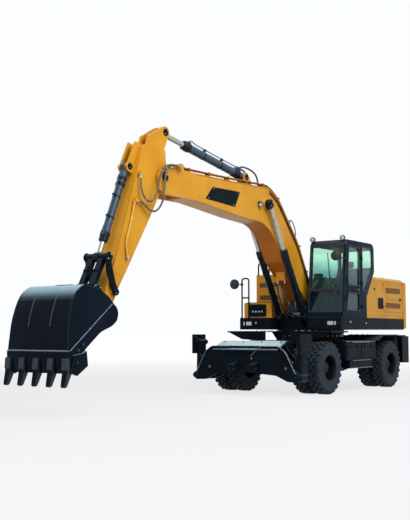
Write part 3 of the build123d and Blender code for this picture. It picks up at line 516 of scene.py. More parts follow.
def slab(width, height, corner, middle, u, v, depth):
    """A plate whose outline is a rounded rectangle about its middle."""
    return plate(oblong(width, height, corner), middle, u, v, depth)


def block(low, high):
    """A square block between its lowest and highest corners."""
    low, high = Vector(low), Vector(high)
    return plate([(0, 0), (1, 0), (1, 1), (0, 1)], low, (high.x - low.x, 0, 0), (0, high.y - low.y, 0),
                 (0, 0, high.z - low.z))


def bolts(places, way, size):
    """Hexagon bolt heads on washers, size being the radius of the thread."""
    heads = [(lathe([(0, size * 2.1), (size * 0.3, size * 2.1)], place, way, 12),
              lathe([(0, size * 1.8), (size * 1.4, size * 1.8), (size * 1.7, size * 1.4)], place, way, 6))
             for place in places]
    return join(*[shape for head in heads for shape in head])


def around(centre, radius, count, axis):
    """Even places on a circle about an axis."""
    axis = Vector(axis)
    u = axis.orthogonal().normalized()
    v = axis.cross(u)
    turns = [math.tau * (i + 0.5) / count for i in range(count)]
    return [Vector(centre) + radius * (math.cos(turn) * u + math.sin(turn) * v) for turn in turns]


collar = lathe([(0, 0.69), (0, 0.738), (0.028, 0.738), (0.028, 0.69)], at(0, 0, 1.165), Z, 64)
make("slewing_ring_collar", collar, charcoal, "undercarriage", 3)
make("slewing_ring_bolts", bolts(around(at(0, 0, 1.165), 0.718, 36, Z), -Z, 0.009), plated_steel,
     "undercarriage")

gearbox = join(lathe([(-0.1, 0.1), (-0.09, 0.13), (0.13, 0.15), (0.15, 0.19), (0.2, 0.19), (0.22, 0.14),
                      (0.33, 0.11), (0.34, 0.07)], at(0.05, -0.1, 0.4), Y, 28),
               lathe([(0, 0.08), (0.16, 0.08), (0.17, 0.05)], at(0.05, 0.02, 0.48), Z, 20))
make("gearbox", gearbox, charcoal, "undercarriage", 4)
make("gearbox_bolts", bolts(around(at(0.05, 0.05, 0.4), 0.172, 12, Y), -Y, 0.007), plated_steel,
     "undercarriage")
yoke = [(0, 0.058), (0.014, 0.058), (0.015, 0.036), (0.06, 0.036), (0.07, 0.046), (0.1, 0.046),
        (0.11, 0.034)]
for name, start, end in (("front", at(0.05, -0.2, 0.4), at(0, -1.326, 0.527)),
                         ("rear", at(0.05, 0.24, 0.4), at(0, 1.28, 0.527))):
    way, length = (end - start).normalized(), (end - start).length
    shaft = yoke + [(length - distance, radius) for distance, radius in reversed(yoke)]
    make(f"drive_shaft_{name}", lathe(shaft, start, way, 20), charcoal, "undercarriage", 2)

# Side boxes. Folded steel boxes with two panels and four latches on each side, and steps whose ribbed
# nosings are rubbed bright by boots.
# Rubbed steel: the enamel is worn through to a dull pale metal with fine scratches along it.
rubbed_steel = speckled("rubbed_bare_steel", {"Metallic": 0.85}, 14, "#5A656D", "#9CA7AE", (0.32, 0.5),
                        detail=4.0, stretch=(1, 0.15, 1))

for hand, side in sides:
    face, out = hand * 1.2, X * hand
    panels = [slab(width, 0.3, 0.03, at(face, y, 0.845), Y, Z, out * 0.014)
              for y, width in ((-0.295, 0.62), (0.385, 0.66))]
    make(f"side_box_panels_{side}", panels, charcoal, "undercarriage", 4)
    catches = []
    for y in (-0.45, -0.14, 0.22, 0.55):
        catches.append(slab(0.05, 0.075, 0.012, at(face + hand * 0.014, y, 0.945), Y, Z, out * 0.012))
        catches.append(lathe([(0, 0.014), (0.02, 0.014), (0.024, 0.01)], at(face + hand * 0.02, y, 0.935),
                             out, 12))
    make(f"side_box_latches_{side}", catches, charcoal, "undercarriage", 2)
    treads = []
    for z in (0.65, 1.032):
        treads.append(slab(0.84, 0.01, 0.003, at(hand * 1.24, 0, z - 0.005), Y, Z, out * 0.004))
        treads += [slab(0.012, 0.03, 0.005, at(hand * 1.22, -0.4 + 0.05 * i, z), Y, X, Z * 0.006)
                   for i in range(17)]
    treads.append(slab(1.42, 0.012, 0.004, at(hand * 1.202, 0.065, 1.044), Y, Z, out * 0.006))
    treads.append(slab(1.07, 0.012, 0.004, at(hand * 1.202, 0.06, 0.486), Y, Z, out * 0.006))
    make(f"step_nosings_{side}", treads, rubbed_steel, "undercarriage", 1)
    rim = slab(1.43, 0.84, 0.03, at(hand * 0.78, 0.065, 1.05), Y, X, Z * 0.012)
    make(f"side_box_lid_{side}", rim, charcoal, "undercarriage", 4)

# Fenders. Bent checkered plate over each pair of wheels, bolted down on its gussets, with a rubber flap
# hung behind the wheel.
# Checkered plate: charcoal enamel over raised lozenges 30 mm apart, whose tops are rubbed. A wave texture
# repeats every 0.314 m over its scale.
checkered, tree, shader = finish("enamelled_checkered_plate", {"Roughness": 0.4})
place = object_place(tree)
turned = add(tree, "Mapping", {"Vector": place, "Rotation": (0, 0, 0.785)}).outputs[0]
waves = [add(tree, "TexWave", {"Vector": turned, "Scale": 33 / 3.14, "Distortion": 0.0},
             bands_direction=way).outputs["Fac"] for way in ("X", "Y")]
lozenge = add(tree, "Math", {0: waves[0], 1: waves[1]}, operation="MULTIPLY").outputs[0]
raised = add(tree, "MapRange", {"Value": lozenge, 1: 0.35, 2: 0.75}).outputs[0]
tree.links.new(shades(tree, raised, "#181E24", "#37424B"), shader.inputs["Base Color"])
relief(tree, shader, raised, 2.5)

# Moulded rubber: dull and nearly black, with a faint grey bloom.
rubber = speckled("moulded_rubber", {"Roughness": 0.6}, 40, "#10161C", "#1E2831", depth_mm=0.6)

for hand, side in sides:
    for place, front, rear, top in (("front", -1.43, -0.68, 1.26), ("rear", 1.1, 1.85, 1.185)):
        middle, length = (front + rear) / 2, rear - front
        cover = slab(length - 0.02, 0.88, 0.03, at(hand * 0.8125, middle, top), Y, X, Z * 0.005)
        make(f"fender_tread_{place}_{side}", cover, checkered, "undercarriage", 1)
        edge = slab(length - 0.01, 0.03, 0.004, at(hand * 1.262, middle, top - 0.012), Y, Z,
                    X * hand * 0.006)
        make(f"fender_edge_{place}_{side}", edge, charcoal, "undercarriage", 2)
        spots = [at(hand * x, y, top + 0.005) for x in (0.42, 0.55)
                 for y in (front + 0.07, middle, rear - 0.07)]
        make(f"fender_bolts_{place}_{side}", bolts(spots, Z, 0.008), plated_steel, "undercarriage")
    flap = sweep(oblong(0.008, 0.56, 0.003), [at(hand * 0.955, 1.856 + 0.012 * math.sin(4 * t),
                                                 1.175 - 0.45 * t) for t in np.linspace(0, 1, 9)], X)
    make(f"mud_flap_{side}", flap, rubber, "undercarriage", 1)

# Wheels. Four axle ends, each with twin tyres on one deep rim. The tyres are moulded rubber with square
# blocks, and each rim is held by ten nuts and covered by the hub's planetary gear case.
# Tyre rubber: dull and bluish, with dust in patches; it is palest on the sidewalls and the tops of the blocks,
# and darker in the grooves by ambient occlusion, which is painted shade.
tyre_rubber, tree, shader = finish("dusty_tyre_rubber", {"Roughness": 0.72, "Specular IOR Level": 0.25})
dust = speckle(tree, 130, 6.0)
grime = speckle(tree, 18, 4.0)
dusted = add(tree, "Math", {0: dust, 1: grime}, operation="ADD").outputs[0]
share = add(tree, "Math", {0: dusted, 1: 0.5}, operation="MULTIPLY").outputs[0]
# Darker where the rubber is occluded, in the grooves and between the blocks: painted shade.
occlusion_for_painted_shade = add(tree, "AmbientOcclusion", {"Distance": 0.03}, samples=4).outputs["AO"]
coat = shades(tree, share, "#131B22", "#2F3E49")
deep = add(tree, "Mix", {0: occlusion_for_painted_shade, 6: linear("#0B0E11"), 7: coat}, data_type="RGBA").outputs[2]
tree.links.new(deep, shader.inputs["Base Color"])
relief(tree, shader, grime, 0.7)

# Rim enamel: black and dull, with a brown tint in its corners, which is painted shade. Hub enamel: a dull dark
# green-grey.
rim_enamel = enamel("rim_enamel", "#0E1011", "#181A1B", "#3C4040", 0.38, dust="#6B5B43")
hub_enamel = enamel("hub_case_enamel", "#1B2627", "#2A3838", "#55635F", 0.4)


def hoop(section, centre, steps):
    """A closed section of (distance out along the axle, radius) turned round the wheel's axle."""
    section = np.asarray(section, float)
    turn = (np.arange(steps) / steps * math.tau)[:, None]
    along, radius = section[None, :, 0], section[None, :, 1]
    points = np.stack([along + 0 * turn, radius * np.cos(turn), radius * np.sin(turn)], axis=-1)
    return np.array(centre) + points.reshape(-1, 3), grid_faces(steps, len(section), True)


def lugs(corners, count, start, low, high, centre):
    """Tread blocks evenly round a tyre. A block is a four-cornered outline of (distance along the axle,
    turn in pitches), raised from the carcass radius low to high, where its top is drawn in by 7%."""
    corners = np.asarray(corners, float)
    middle = corners.mean(axis=0)
    rings = np.stack([corners, corners, middle + (corners - middle) * 0.93])
    heights = np.array([low, high - 0.005, high])[:, None]
    pitch = math.tau / count
    turn = (np.arange(count)[:, None, None] + start + rings[None, :, :, 1]) * pitch
    along = np.broadcast_to(rings[None, :, :, 0], turn.shape)
    radius = np.broadcast_to(heights[None], turn.shape)
    points = np.stack([along, radius * np.cos(turn), radius * np.sin(turn)], axis=-1).reshape(-1, 3)
    one = grid_faces(3, 4) + [[0, 1, 2, 3], [8, 9, 10, 11]]
    faces = [[12 * i + corner for corner in face] for i in range(count) for face in one]
    return np.array(centre) + points, faces


tyre_radius = 0.527
half_tyre = [(0.0, 0.496), (0.07, 0.495), (0.104, 0.489), (0.122, 0.474), (0.131, 0.455), (0.1345, 0.4545),
             (0.1375, 0.425), (0.1395, 0.4), (0.138, 0.372), (0.1345, 0.371), (0.1325, 0.352),
             (0.1355, 0.351), (0.133, 0.33), (0.1345, 0.318), (0.1385, 0.3), (0.1385, 0.275), (0.133, 0.271),
             (0.133, 0.296), (0.119, 0.297), (0.115, 0.29), (0.115, 0.263)]
tyre_section = half_tyre + [(-x, radius) for x, radius in reversed(half_tyre[1:])]
blocks = [([(0.006, 0.1), (0.058, 0.02), (0.06, 0.6), (0.006, 0.68)], 0.0),
          ([(-0.006, 0.1), (-0.058, 0.02), (-0.06, 0.6), (-0.006, 0.68)], 0.5)]
shoulders = [([(0.07, 0.08), (0.112, 0.12), (0.112, 0.66), (0.07, 0.58)], 0.45),
             ([(-0.07, 0.08), (-0.112, 0.12), (-0.112, 0.66), (-0.07, 0.58)], 0.95)]
flanks = [([(0.108, 0.14), (0.134, 0.2), (0.134, 0.56), (0.108, 0.64)], 0.45),
          ([(-0.108, 0.14), (-0.134, 0.2), (-0.134, 0.56), (-0.108, 0.64)], 0.95)]
for corner in ("front_left", "front_right", "rear_left", "rear_right"):
    hand = 1 if "left" in corner else -1
    axle = joint_place[f"wheel_spin_{corner}"]
    wheel = next(body for body, nodes in frame["record"]["behaviour"]["bodies"].items()
                 if f"tyres_{corner}" in nodes)
    shapes = []
    for x in (0.78, 1.13):
        middle = (hand * x, axle.y, axle.z)
        shapes.append(hoop(tyre_section, middle, 96))
        for rows, low, high in ((blocks, 0.49, tyre_radius), (shoulders, 0.48, tyre_radius - 0.001),
                                (flanks, 0.455, 0.508)):
            shapes += [lugs(outline, 22, start, low, high, middle) for outline, start in rows]
    tyre = make(f"tyre_pair_{corner}", shapes, tyre_rubber, wheel, 0, 40)
    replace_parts(tyre, f"tyres_{corner}")
    dress(rim_enamel, f"rims_{corner}")
    out = X * hand
    disc, face = Vector((hand * 0.965, axle.y, axle.z)), Vector((hand * 1.165, axle.y, axle.z))
    make(f"wheel_nuts_{corner}", bolts(around(disc, 0.195, 10, X), out, 0.0105), hub_enamel, wheel)
    hub = lathe([(-0.035, 0.112), (-0.03, 0.121), (-0.012, 0.121), (-0.006, 0.1), (0.004, 0.096),
                 (0.014, 0.088), (0.024, 0.05), (0.027, 0.012)], face, out, 40)
    make(f"hub_case_{corner}", hub, hub_enamel, wheel, 2)
    make(f"hub_bolts_{corner}", join(bolts(around(face - out * 0.012, 0.11, 12, X), out, 0.006),
                                     bolts([face + out * 0.024], out, 0.014)), hub_enamel, wheel)
    lock = hoop([(hand * (1.24 + 0.01 * math.cos(t)), 0.25 + 0.009 * math.sin(t))
                 for t in np.arange(8) / 8 * math.tau], (0, axle.y, axle.z), 72)
    make(f"rim_lock_ring_{corner}", lock, rim_enamel, wheel)
    stem = tube(0.004, 8, smooth_route([disc + Vector(place) for place in (
        (0, 0.222, 0), (hand * 0.05, 0.228, 0), (hand * 0.12, 0.222, 0), (hand * 0.19, 0.215, 0))]), Z)
    make(f"valve_stem_{corner}", stem, plated_steel, wheel)

# Axles: a bolted flange and the shaft's seal on each differential.
for name, y in (("front", -1.486), ("rear", 1.455)):
    case = at(0, y, 0.527)
    cover = join(lathe([(-0.012, 0.195), (0.012, 0.195)], case, Y, 32),
                 lathe([(0, 0.1), (0.03, 0.09), (0.035, 0.05)],
                       case + Y * (0.165 if name == "rear" else -0.16), Y if name == "rear" else -Y, 24))
    make(f"differential_flange_{name}", cover, charcoal, "undercarriage", 3)
    make(f"differential_bolts_{name}", bolts(around(case + Y * 0.012, 0.182, 14, Y), Y, 0.006), plated_steel,
         "undercarriage")

# Front stabiliser. A welded box across the machine, folded from two face plates whose cut edges carry pale
# strips of bare steel, partly rubbed and partly a painted highlight, with a sloped cover plate, a warning lamp and
# two reflectors. The leg pins turn in it.
plate_front = -2.64
bracket_face = [(0.15, 0.76), (0.38, 0.965), (0.775, 0.965), (0.93, 0.865), (1.165, 0.44), (0.96, 0.3),
                (0.7, 0.41), (0.15, 0.465)]
for hand, side in sides:
    wing = [(hand * x, z) for x, z in bracket_face]
    face = plate(rounded(wing, 0.02), at(0, plate_front, 0), X, Z, -Y * 0.012)
    make(f"stabiliser_face_{side}", face, charcoal, "undercarriage", 3)
    # Pale bare-steel strips along the face plates' edges: partly rubbed steel, partly a painted highlight.
    flange = sweep(oblong(0.008, 0.05, 0.002), [at(x, plate_front - 0.034, z) for x, z in
                                                rounded(wing[1 if hand < 0 else 0:5], 0.05, False)], Y)
    make(f"stabiliser_flange_highlight_{side}", flange, rubbed_steel, "undercarriage", 1)
    cap = join(lathe([(0, 0.066), (0.014, 0.066), (0.018, 0.06)], at(hand * 1.19, plate_front, 0.37), -Y, 28),
               lathe([(0, 0.034), (0.012, 0.034)], at(hand * 0.42, plate_front - 0.012, 0.9), -Y, 20))
    make(f"stabiliser_pin_caps_{side}", cap, charcoal, "undercarriage", 3)
    spots = around(at(hand * 1.19, plate_front - 0.016, 0.37), 0.045, 4, Y)
    make(f"stabiliser_cap_bolts_{side}", bolts(spots, -Y, 0.007), charcoal, "undercarriage")

# Sky-reflection charcoal enamel: charcoal drawn in the pale blue-grey it reflects from the sky at a low angle,
# a painted reflection, under a clear coat.
sky_reflection_charcoal, tree, shader = finish("charcoal_enamel_painted_sky_reflection", {"Coat Weight": 1.0, "Coat Roughness": 0.05,
                                                             "Coat IOR": 1.9, "Roughness": 0.3})
tree.links.new(shades(tree, speckle(tree, 300), "#82A6B2", "#A6C5CF"), shader.inputs["Base Color"])
relief(tree, shader, speckle(tree, 160, 2.0), 0.8)
cover = slab(1.52, 0.4, 0.02, at(0, -2.505, 0.9785), X, Vector((0, 0.908, 0.418)), (0, -0.002, 0.006))
make("stabiliser_cover_plate", cover, sky_reflection_charcoal, "undercarriage", 2)
lugs_at = [at(x, y, 0.985 + (y + 2.505) * 0.46) for x in (-0.66, -0.22, 0.22, 0.66) for y in (-2.63, -2.38)]
make("stabiliser_cover_bolts", bolts(lugs_at, Z, 0.008), charcoal, "undercarriage")
nose = sweep(oblong(0.008, 0.014, 0.003), [at(x, -2.7, 0.884) for x in (-0.778, 0, 0.778)], Y)
make("stabiliser_cover_edge", nose, charcoal, "undercarriage", 1)

# Moulded lamp lenses: tinted plastic over small prisms, with bright specks painted into the colour as glints where
# the prisms would catch the light.
lens_finishes = {}
for name, dark, glint_colour in (("red", "#3A0B0B", "#8E1C16"), ("amber", "#7A3A05", "#E0861A"),
                           ("clear", "#6F7C84", "#E9F0F3")):
    made, tree, shader = finish(f"{name}_moulded_lens", {"Roughness": 0.12, "Coat Weight": 0.6})
    prism_bumps_and_glints = add(tree, "TexVoronoi", {"Vector": object_place(tree),
                                                "Scale": 110.0}).outputs["Distance"]
    tree.links.new(shades(tree, prism_bumps_and_glints, dark, glint_colour), shader.inputs["Base Color"])
    relief(tree, shader, prism_bumps_and_glints, 1.2)
    lens_finishes[name] = made


def lamp_unit(name, place, way, radius, depth, lens, body):
    """A round lamp: a cup-shaped case with a rim, and a lens crowned like a shallow dome in it."""
    way = Vector(way).normalized()
    case = lathe([(-depth, radius * 0.55), (-depth * 0.9, radius * 0.75), (-depth * 0.35, radius * 0.98),
                  (0, radius), (0.006, radius * 0.97), (0.006, radius * 0.88), (-0.006, radius * 0.86)],
                 place, way, 28)
    make(name + "_case", case, rubber, body, 0, 30)
    turn = np.linspace(0, 1, 6)
    dome = lathe([(-0.008 + 0.02 * math.cos(t * 1.5), radius * 0.87 * math.sin(t * 1.5))
                  for t in turn[::-1]][:-1], place, way, 28)
    make(name + "_lens", dome, lens_finishes[lens], body, 0, 60)


lamp_unit("stabiliser_lamp", at(0.16, -2.665, 0.72), -Y, 0.026, 0.03, "amber", "undercarriage")
for x in (-0.86, 0.93):
    disc = lathe([(0, 0.03), (0.007, 0.03), (0.01, 0.026)], at(x, plate_front - 0.012, 0.545), -Y, 24)
    make(f"reflector_{'left' if x > 0 else 'right'}", disc, lens_finishes["red"], "undercarriage")

for hand, side in sides:
    leg, foot = f"stabiliser_leg_{side}", f"stabiliser_foot_{side}"
    low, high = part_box(foot)
    middle = (low + high) / 2
    outer = hand * 1.2735
    sole = slab(0.38, 0.33, 0.04, (outer, middle.y, middle.z), Y, Z, X * hand * 0.008)
    ribs = [slab(0.3, 0.018, 0.005, (outer + hand * 0.008, middle.y, middle.z + z), Y, Z,
                 X * hand * 0.008) for z in (-0.1, 0.0, 0.1)]
    make(f"foot_sole_{side}", join(sole, *ribs), charcoal, foot, 2)
    low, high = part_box(leg)
    middle = (low + high) / 2
    caps = [lathe([(0, 0.04), (0.01, 0.04), (0.014, 0.034)], (hand * 1.19, y, 1.04), way, 20)
            for y, way in ((low.y, -Y), (high.y, Y))]
    make(f"leg_pin_caps_{side}", caps, charcoal, foot, 2)
    panel = slab(0.13, 0.36, 0.03, (hand * 1.238, middle.y, 0.72), Y, Z, X * hand * 0.006)
    make(f"leg_panel_{side}", panel, charcoal, leg, 2)

# Rear blade. A curved mouldboard on two lifting arms, with a bolted cutting edge of harder steel that
# wears bare along its lower side.
cutting = sweep(oblong(0.016, 0.15, 0.004), [at(x, 2.4385, 0.612) for x in np.linspace(-1.255, 1.255, 3)],
                Vector((0, 0.085, 1)))
make("blade_cutting_edge", cutting, rubbed_steel, "blade", 2)
studs = [at(x, 2.4465, 0.64) for x in np.linspace(-1.18, 1.18, 11)]
make("blade_edge_bolts", bolts(studs, Y, 0.01), plated_steel, "blade")
gussets = [plate([(0, 0), (0.1, 0.02), (0.1, 0.3), (0, 0.34)], at(x - 0.006, 2.3, 0.7), Y, Z, X * 0.012)
           for x in (-1.0, -0.6, 0.6, 1.0)]
make("blade_ribs", gussets, charcoal, "blade", 2)
rim = tube(0.014, 10, [at(x, 2.338, 1.162) for x in (-1.25, 0, 1.25)], Z)
make("blade_top_rim", rim, rubbed_steel, "blade")

# Deck. The upper frame's skirt is folded plate, with checkered mats on the walkways, a reflector and a
# catch on its left side, and bolts and blank plates on its front.
deck_high = 1.55
for name, x, y, width, length in (("right", -0.82, -0.972, 0.76, 0.046), ("left", 0.81, -0.862, 0.74, 0.046),
                                  ("side", -1.183, -0.16, 0.06, 1.5)):
    mat = slab(width, length, 0.008, at(x, y, deck_high), X, Y, Z * 0.004)
    make(f"deck_mat_{name}", mat, checkered, "upper", 1)
skirt_seams = []
for x, y, length, way in ((1.22, 0.72, 3.18, 1), (-1.22, 0.66, 3.3, -1)):
    skirt_seams += [slab(length, 0.016, 0.004, at(x, y, z), Y, Z, X * way * 0.005) for z in (1.318, 1.53)]
make("skirt_seams", skirt_seams, charcoal, "upper", 2)
spots = [at(x, y, 1.425) for x, y in ((-1.15, -1.0), (-0.5, -1.0), (0.5, -0.89), (1.16, -0.89))]
make("deck_front_bolts", bolts(spots, -Y, 0.011), charcoal, "upper")
tags = [slab(width, 0.075, 0.006, at(x, y, 1.43), X, Z, -Y * 0.003) for x, y, width in (
    (0.965, -0.89, 0.135), (1.075, -0.89, 0.04), (-1.11, -1.0, 0.035), (-0.985, -1.0, 0.135))]
tags.append(lathe([(0, 0.02), (0.003, 0.019)], at(-0.8, -1.0, 1.445), -Y, 16))
make("deck_blank_plates", tags, plated_steel, "upper")
marker = slab(0.1, 0.045, 0.015, at(1.22, -0.49, 1.455), Y, Z, X * 0.012)
make("skirt_reflector", marker, lens_finishes["red"], "upper", 2)
catch = lathe([(0, 0.024), (0.008, 0.024), (0.014, 0.016), (0.016, 0.008)], at(1.22, 0.27, 1.435), X, 24)
make("skirt_catch", catch, plated_steel, "upper")

# Boom foot. Cast pin caps with two bolts each close the foot pin and the boom cylinders' base pins, and a
# steel manifold feeds the two hoses that climb to the boom.
def pin_cap(name, hand, place, radius, body):
    """A pin's end on the machine's left or right, hand being 1 or -1: a domed washer with two bolts. Its
    place's x is measured outwards."""
    name = f"{name}_cap_{'left' if hand > 0 else 'right'}"
    place, way = at(hand * place[0], *place[1:]), X * hand
    shape = lathe([(0, radius), (0.01, radius), (0.016, radius * 0.9), (0.018, radius * 0.45),
                   (0.012, radius * 0.4)], place, way, 28)
    make(name, shape, charcoal, body, 1)
    aside = way.orthogonal().normalized() * radius * 0.66
    spots = [place + way * 0.014 + aside, place + way * 0.014 - aside]
    make(name + "_bolts", bolts(spots, way, radius * 0.09), plated_steel, body)


for hand, side in sides:
    pin_cap("boom_foot", hand, (0.282, -0.3, 1.9), 0.085, "boom")
    pin_cap("boom_base", hand, (0.372, -0.8, 1.56), 0.05, "upper")
valves = [block(at(-0.1 + 0.05 * i, -0.62, 1.62), at(-0.065 + 0.05 * i, -0.57, 1.665)) for i in range(4)]
valves += [lathe([(0, 0.014), (0.03, 0.014), (0.03, 0.01), (0.05, 0.01)],
                 at(-0.08 + 0.055 * i, -0.635, 1.588), -Y, 6) for i in (1, 2, 3)]
make("boom_foot_manifold", valves, rubbed_steel, "upper", 2)
for index, (x, lean) in enumerate(((-0.175, 0.02), (-0.14, 0.05), (-0.105, -0.03), (-0.02, 0.06),
                                   (0.02, -0.01), (0.105, 0.07), (0.13, 0.03), (0.165, 0.0))):
    route = [at(x, -0.555, 1.6), at(x, -0.62, 1.66 + lean), at(x * 1.05, -0.64, 1.8 + lean),
             at(x * 1.08, -0.56, 1.93 + lean), at(x * 1.05, -0.47, 1.88), at(x, -0.44, 1.74),
             at(x, -0.44, 1.56)]
    make(f"valve_pipe_{index}", tube(0.013, 10, smooth_route(route), X),
         rubbed_steel if index % 3 == 0 else hose_rubber, "upper")

# Cab. A pressed and welded steel shell in charcoal enamel, with laminated glass bonded into black rubber
# seals, two work lamps on the roof's front corners, a roof hatch and a grab rail.
# Cab enamel: a deep blue-black with a soft shine, and a paler painted sky reflection on what faces up.
cab_enamel = enamel("cab_enamel", "#081625", "#0F2438", "#486274", 0.16, dust="#3A4654", shine=0.03,
                    turned=[(Z, 0.25, 0.9, "#6F8896", 0.5)])
dress(cab_enamel, "cab_frame", "cab_door")

# Tinted laminated glass: pale green above, and deeper blue-green low down, which is a painted dark reflection;
# slightly wavy so that reflections bend. Its index of refraction is kept low, so the white room mirrors less in
# it.
glazing, tree, shader = finish("green_laminated_glass", {"Roughness": 0.0, "Transmission Weight": 0.97,
                                                         "IOR": 1.35})
height = add(tree, "SeparateXYZ", {0: object_place(tree)}).outputs["Z"]
painted_reflection_share = add(tree, "MapRange", {"Value": height, 1: 2.85, 2: 2.15, 3: 0.0, 4: 1.0}).outputs[0]
tint = add(tree, "Mix", {0: painted_reflection_share, 6: linear("#DCFFEE"), 7: linear("#4FA3B0")},
           data_type="RGBA").outputs[2]
tree.links.new(tint, shader.inputs["Base Color"])
relief(tree, shader, speckle(tree, 400, 1.0), 0.5)
dress(glazing, "cab_glass", "door_glass")


def inset(outline, distance):
    """The outline drawn in by a distance: each corner moves by the sum of its two inward edge normals times
    the distance, over one plus their dot product. The outline runs anticlockwise."""
    outline = np.asarray(outline, float)
    ahead = np.roll(outline, -1, axis=0) - outline
    ahead /= np.linalg.norm(ahead, axis=1, keepdims=True)
    inward = np.stack([-ahead[:, 1], ahead[:, 0]], axis=1)
    before = np.roll(inward, 1, axis=0)
    share = 1 + (inward * before).sum(axis=1, keepdims=True)
    return outline + (inward + before) * distance / share


def surround(outline, width, reach, corner, u, v, depth, grow=0.0):
    """A flat frame with a square outer edge and a rounded inner one, as four rings of points: outer and
    inner at the face, inner and outer moved by depth."""
    outline = np.asarray(outline, float)
    if np.cross(outline[1] - outline[0], outline[2] - outline[1]) < 0:
        outline = outline[::-1]
    rings = [lay(ring, corner, u, v) for ring in (rounded(inset(outline, -grow), 0.012),
                                                  rounded(inset(outline, width), reach))]
    depth = np.array(depth, float)
    points = np.concatenate([rings[0], rings[1], rings[1] + depth, rings[0] + depth])
    return points, grid_faces(4, len(rings[0]), True)


cab_lean = 0.1097
cab_foot = -0.83
cab_wall = 1.234


def cab_face(z):
    """The y of the cab's leaning front face at a height, from the slewing axis."""
    return cab_foot + (z - deck_high) * cab_lean


lean = Vector((0, cab_lean, 1))
origin = at(0, cab_foot - deck_high * cab_lean, 0)
for name, low, high, reach in (("low", 1.67, 2.115, 0.06), ("high", 2.15, 3.082, 0.1)):
    pane = [(0.417, low), (1.186, low), (1.186, high), (0.417, high)]
    seal = surround(pane, 0.014, reach, origin, X, lean, Vector((0, -0.01, 0)), 0.015)
    make(f"screen_seal_{name}", seal, rubber, "upper", 2)
side_panes = {
    "quarter": ("upper", cab_wall, 1, [(0.095, 2.13), (0.095, 3.09), (0.606, 3.09), (0.626, 2.63),
                                       (0.28, 2.13)]),
    "offside": ("upper", 0.385, -1, [(cab_face(2.08) + 0.12, 2.08), (cab_face(3.09) + 0.095, 3.09),
                                     (0.606, 3.09), (0.626, 2.63), (0.28, 2.13)]),
    "door_low": ("cab_door", cab_wall, 1, [(cab_face(1.7) + 0.165, 1.7), (cab_face(2.07) + 0.16, 2.07),
                                           (-0.045, 2.07), (-0.045, 1.7)]),
    "door_high": ("cab_door", cab_wall, 1, [(cab_face(2.23) + 0.155, 2.23), (cab_face(3.045) + 0.13, 3.045),
                                            (-0.045, 3.045), (-0.045, 2.23)]),
}
for name, (body, x, hand, pane) in side_panes.items():
    seal = surround(pane, 0.012, 0.06, at(x, 0, 0), Y, Z, X * hand * 0.007, 0.012)
    make(f"{name}_seal", seal, rubber, body, 2)
pane = [(0.417, 2.65), (1.186, 2.65), (1.186, 3.07), (0.417, 3.07)]
rear_lean = 0.019
back_lean = Vector((0, -rear_lean, 1))
seal = surround(pane, 0.02, 0.06, at(0, 0.7 + 2.58 * rear_lean, 0), X, back_lean, Y * 0.008, 0.014)
make("rear_window_seal", seal, rubber, "upper", 2)

leaf = [(cab_face(1.62) + 0.116, 1.626), (cab_face(3.085) + 0.081, 3.079), (0.015, 3.079), (0.015, 1.626)]
make("door_edge_trim", surround(leaf, 0.022, 0.03, at(cab_wall, 0, 0), Y, Z, X * 0.006, -0.004), cab_enamel,
     "cab_door", 2)
handle = sweep(oblong(0.022, 0.014, 0.005), [at(1.236 + out, y, 2.15) for out, y in rounded(
    [(0, -0.36), (0.038, -0.35), (0.042, -0.13), (0, -0.12)], 0.03, False)], Z)
make("door_handle", handle, rubber, "cab_door", 1)
lock = lathe([(0, 0.02), (0.01, 0.02), (0.013, 0.014)], at(cab_wall, -0.09, 2.15), X, 20)
make("door_lock", lock, plated_steel, "cab_door")
rail = smooth_route([at(1.236, -0.695, 1.9), at(1.275, -0.7, 1.92), at(1.276, -0.68, 2.15),
                     at(1.275, -0.66, 2.38), at(1.236, -0.66, 2.4)])
make("cab_grab_rail", tube(0.013, 10, rail, Y), charcoal, "upper")

roof_high = 3.18
panel = slab(0.76, 1.08, 0.08, at(0.81, 0.02, roof_high), X, Y, Z * 0.022)
hatch = slab(0.56, 0.5, 0.06, at(0.81, 0.2, roof_high + 0.022), X, Y, Z * 0.016)
make("roof_panel", join(panel, hatch), cab_enamel, "upper", 8)
gutter = surround([(0.395, -0.6), (1.224, -0.6), (1.224, 0.615), (0.395, 0.615)], 0.024, 0.05,
                  at(0, 0, roof_high), X, Y, Z * 0.014)
make("roof_gutter", gutter, cab_enamel, "upper", 3)
for name, x in (("right", 0.455), ("left", 1.165)):
    stand = join(block(at(x - 0.018, -0.64, 3.13), at(x + 0.018, -0.575, 3.196)),
                 lathe([(-0.02, 0.012), (0.02, 0.012)], at(x, -0.61, 3.19), Z, 12))
    make(f"roof_lamp_stand_{name}", stand, charcoal, "upper", 2)
    lamp_unit(f"roof_lamp_{name}", at(x, -0.69, 3.222), Vector((0, -1, -0.12)), 0.058, 0.075, "clear",
              "upper")
for index, (x, y) in enumerate(((1.19, -0.16), (1.19, 0.16), (1.19, 0.46), (0.43, 0.46))):
    make(f"roof_eye_{index}", lathe([(0, 0.018), (0.012, 0.018), (0.016, 0.01), (0.036, 0.01),
                                     (0.04, 0.006)], at(x, y, roof_high), Z, 12), plated_steel, "upper")

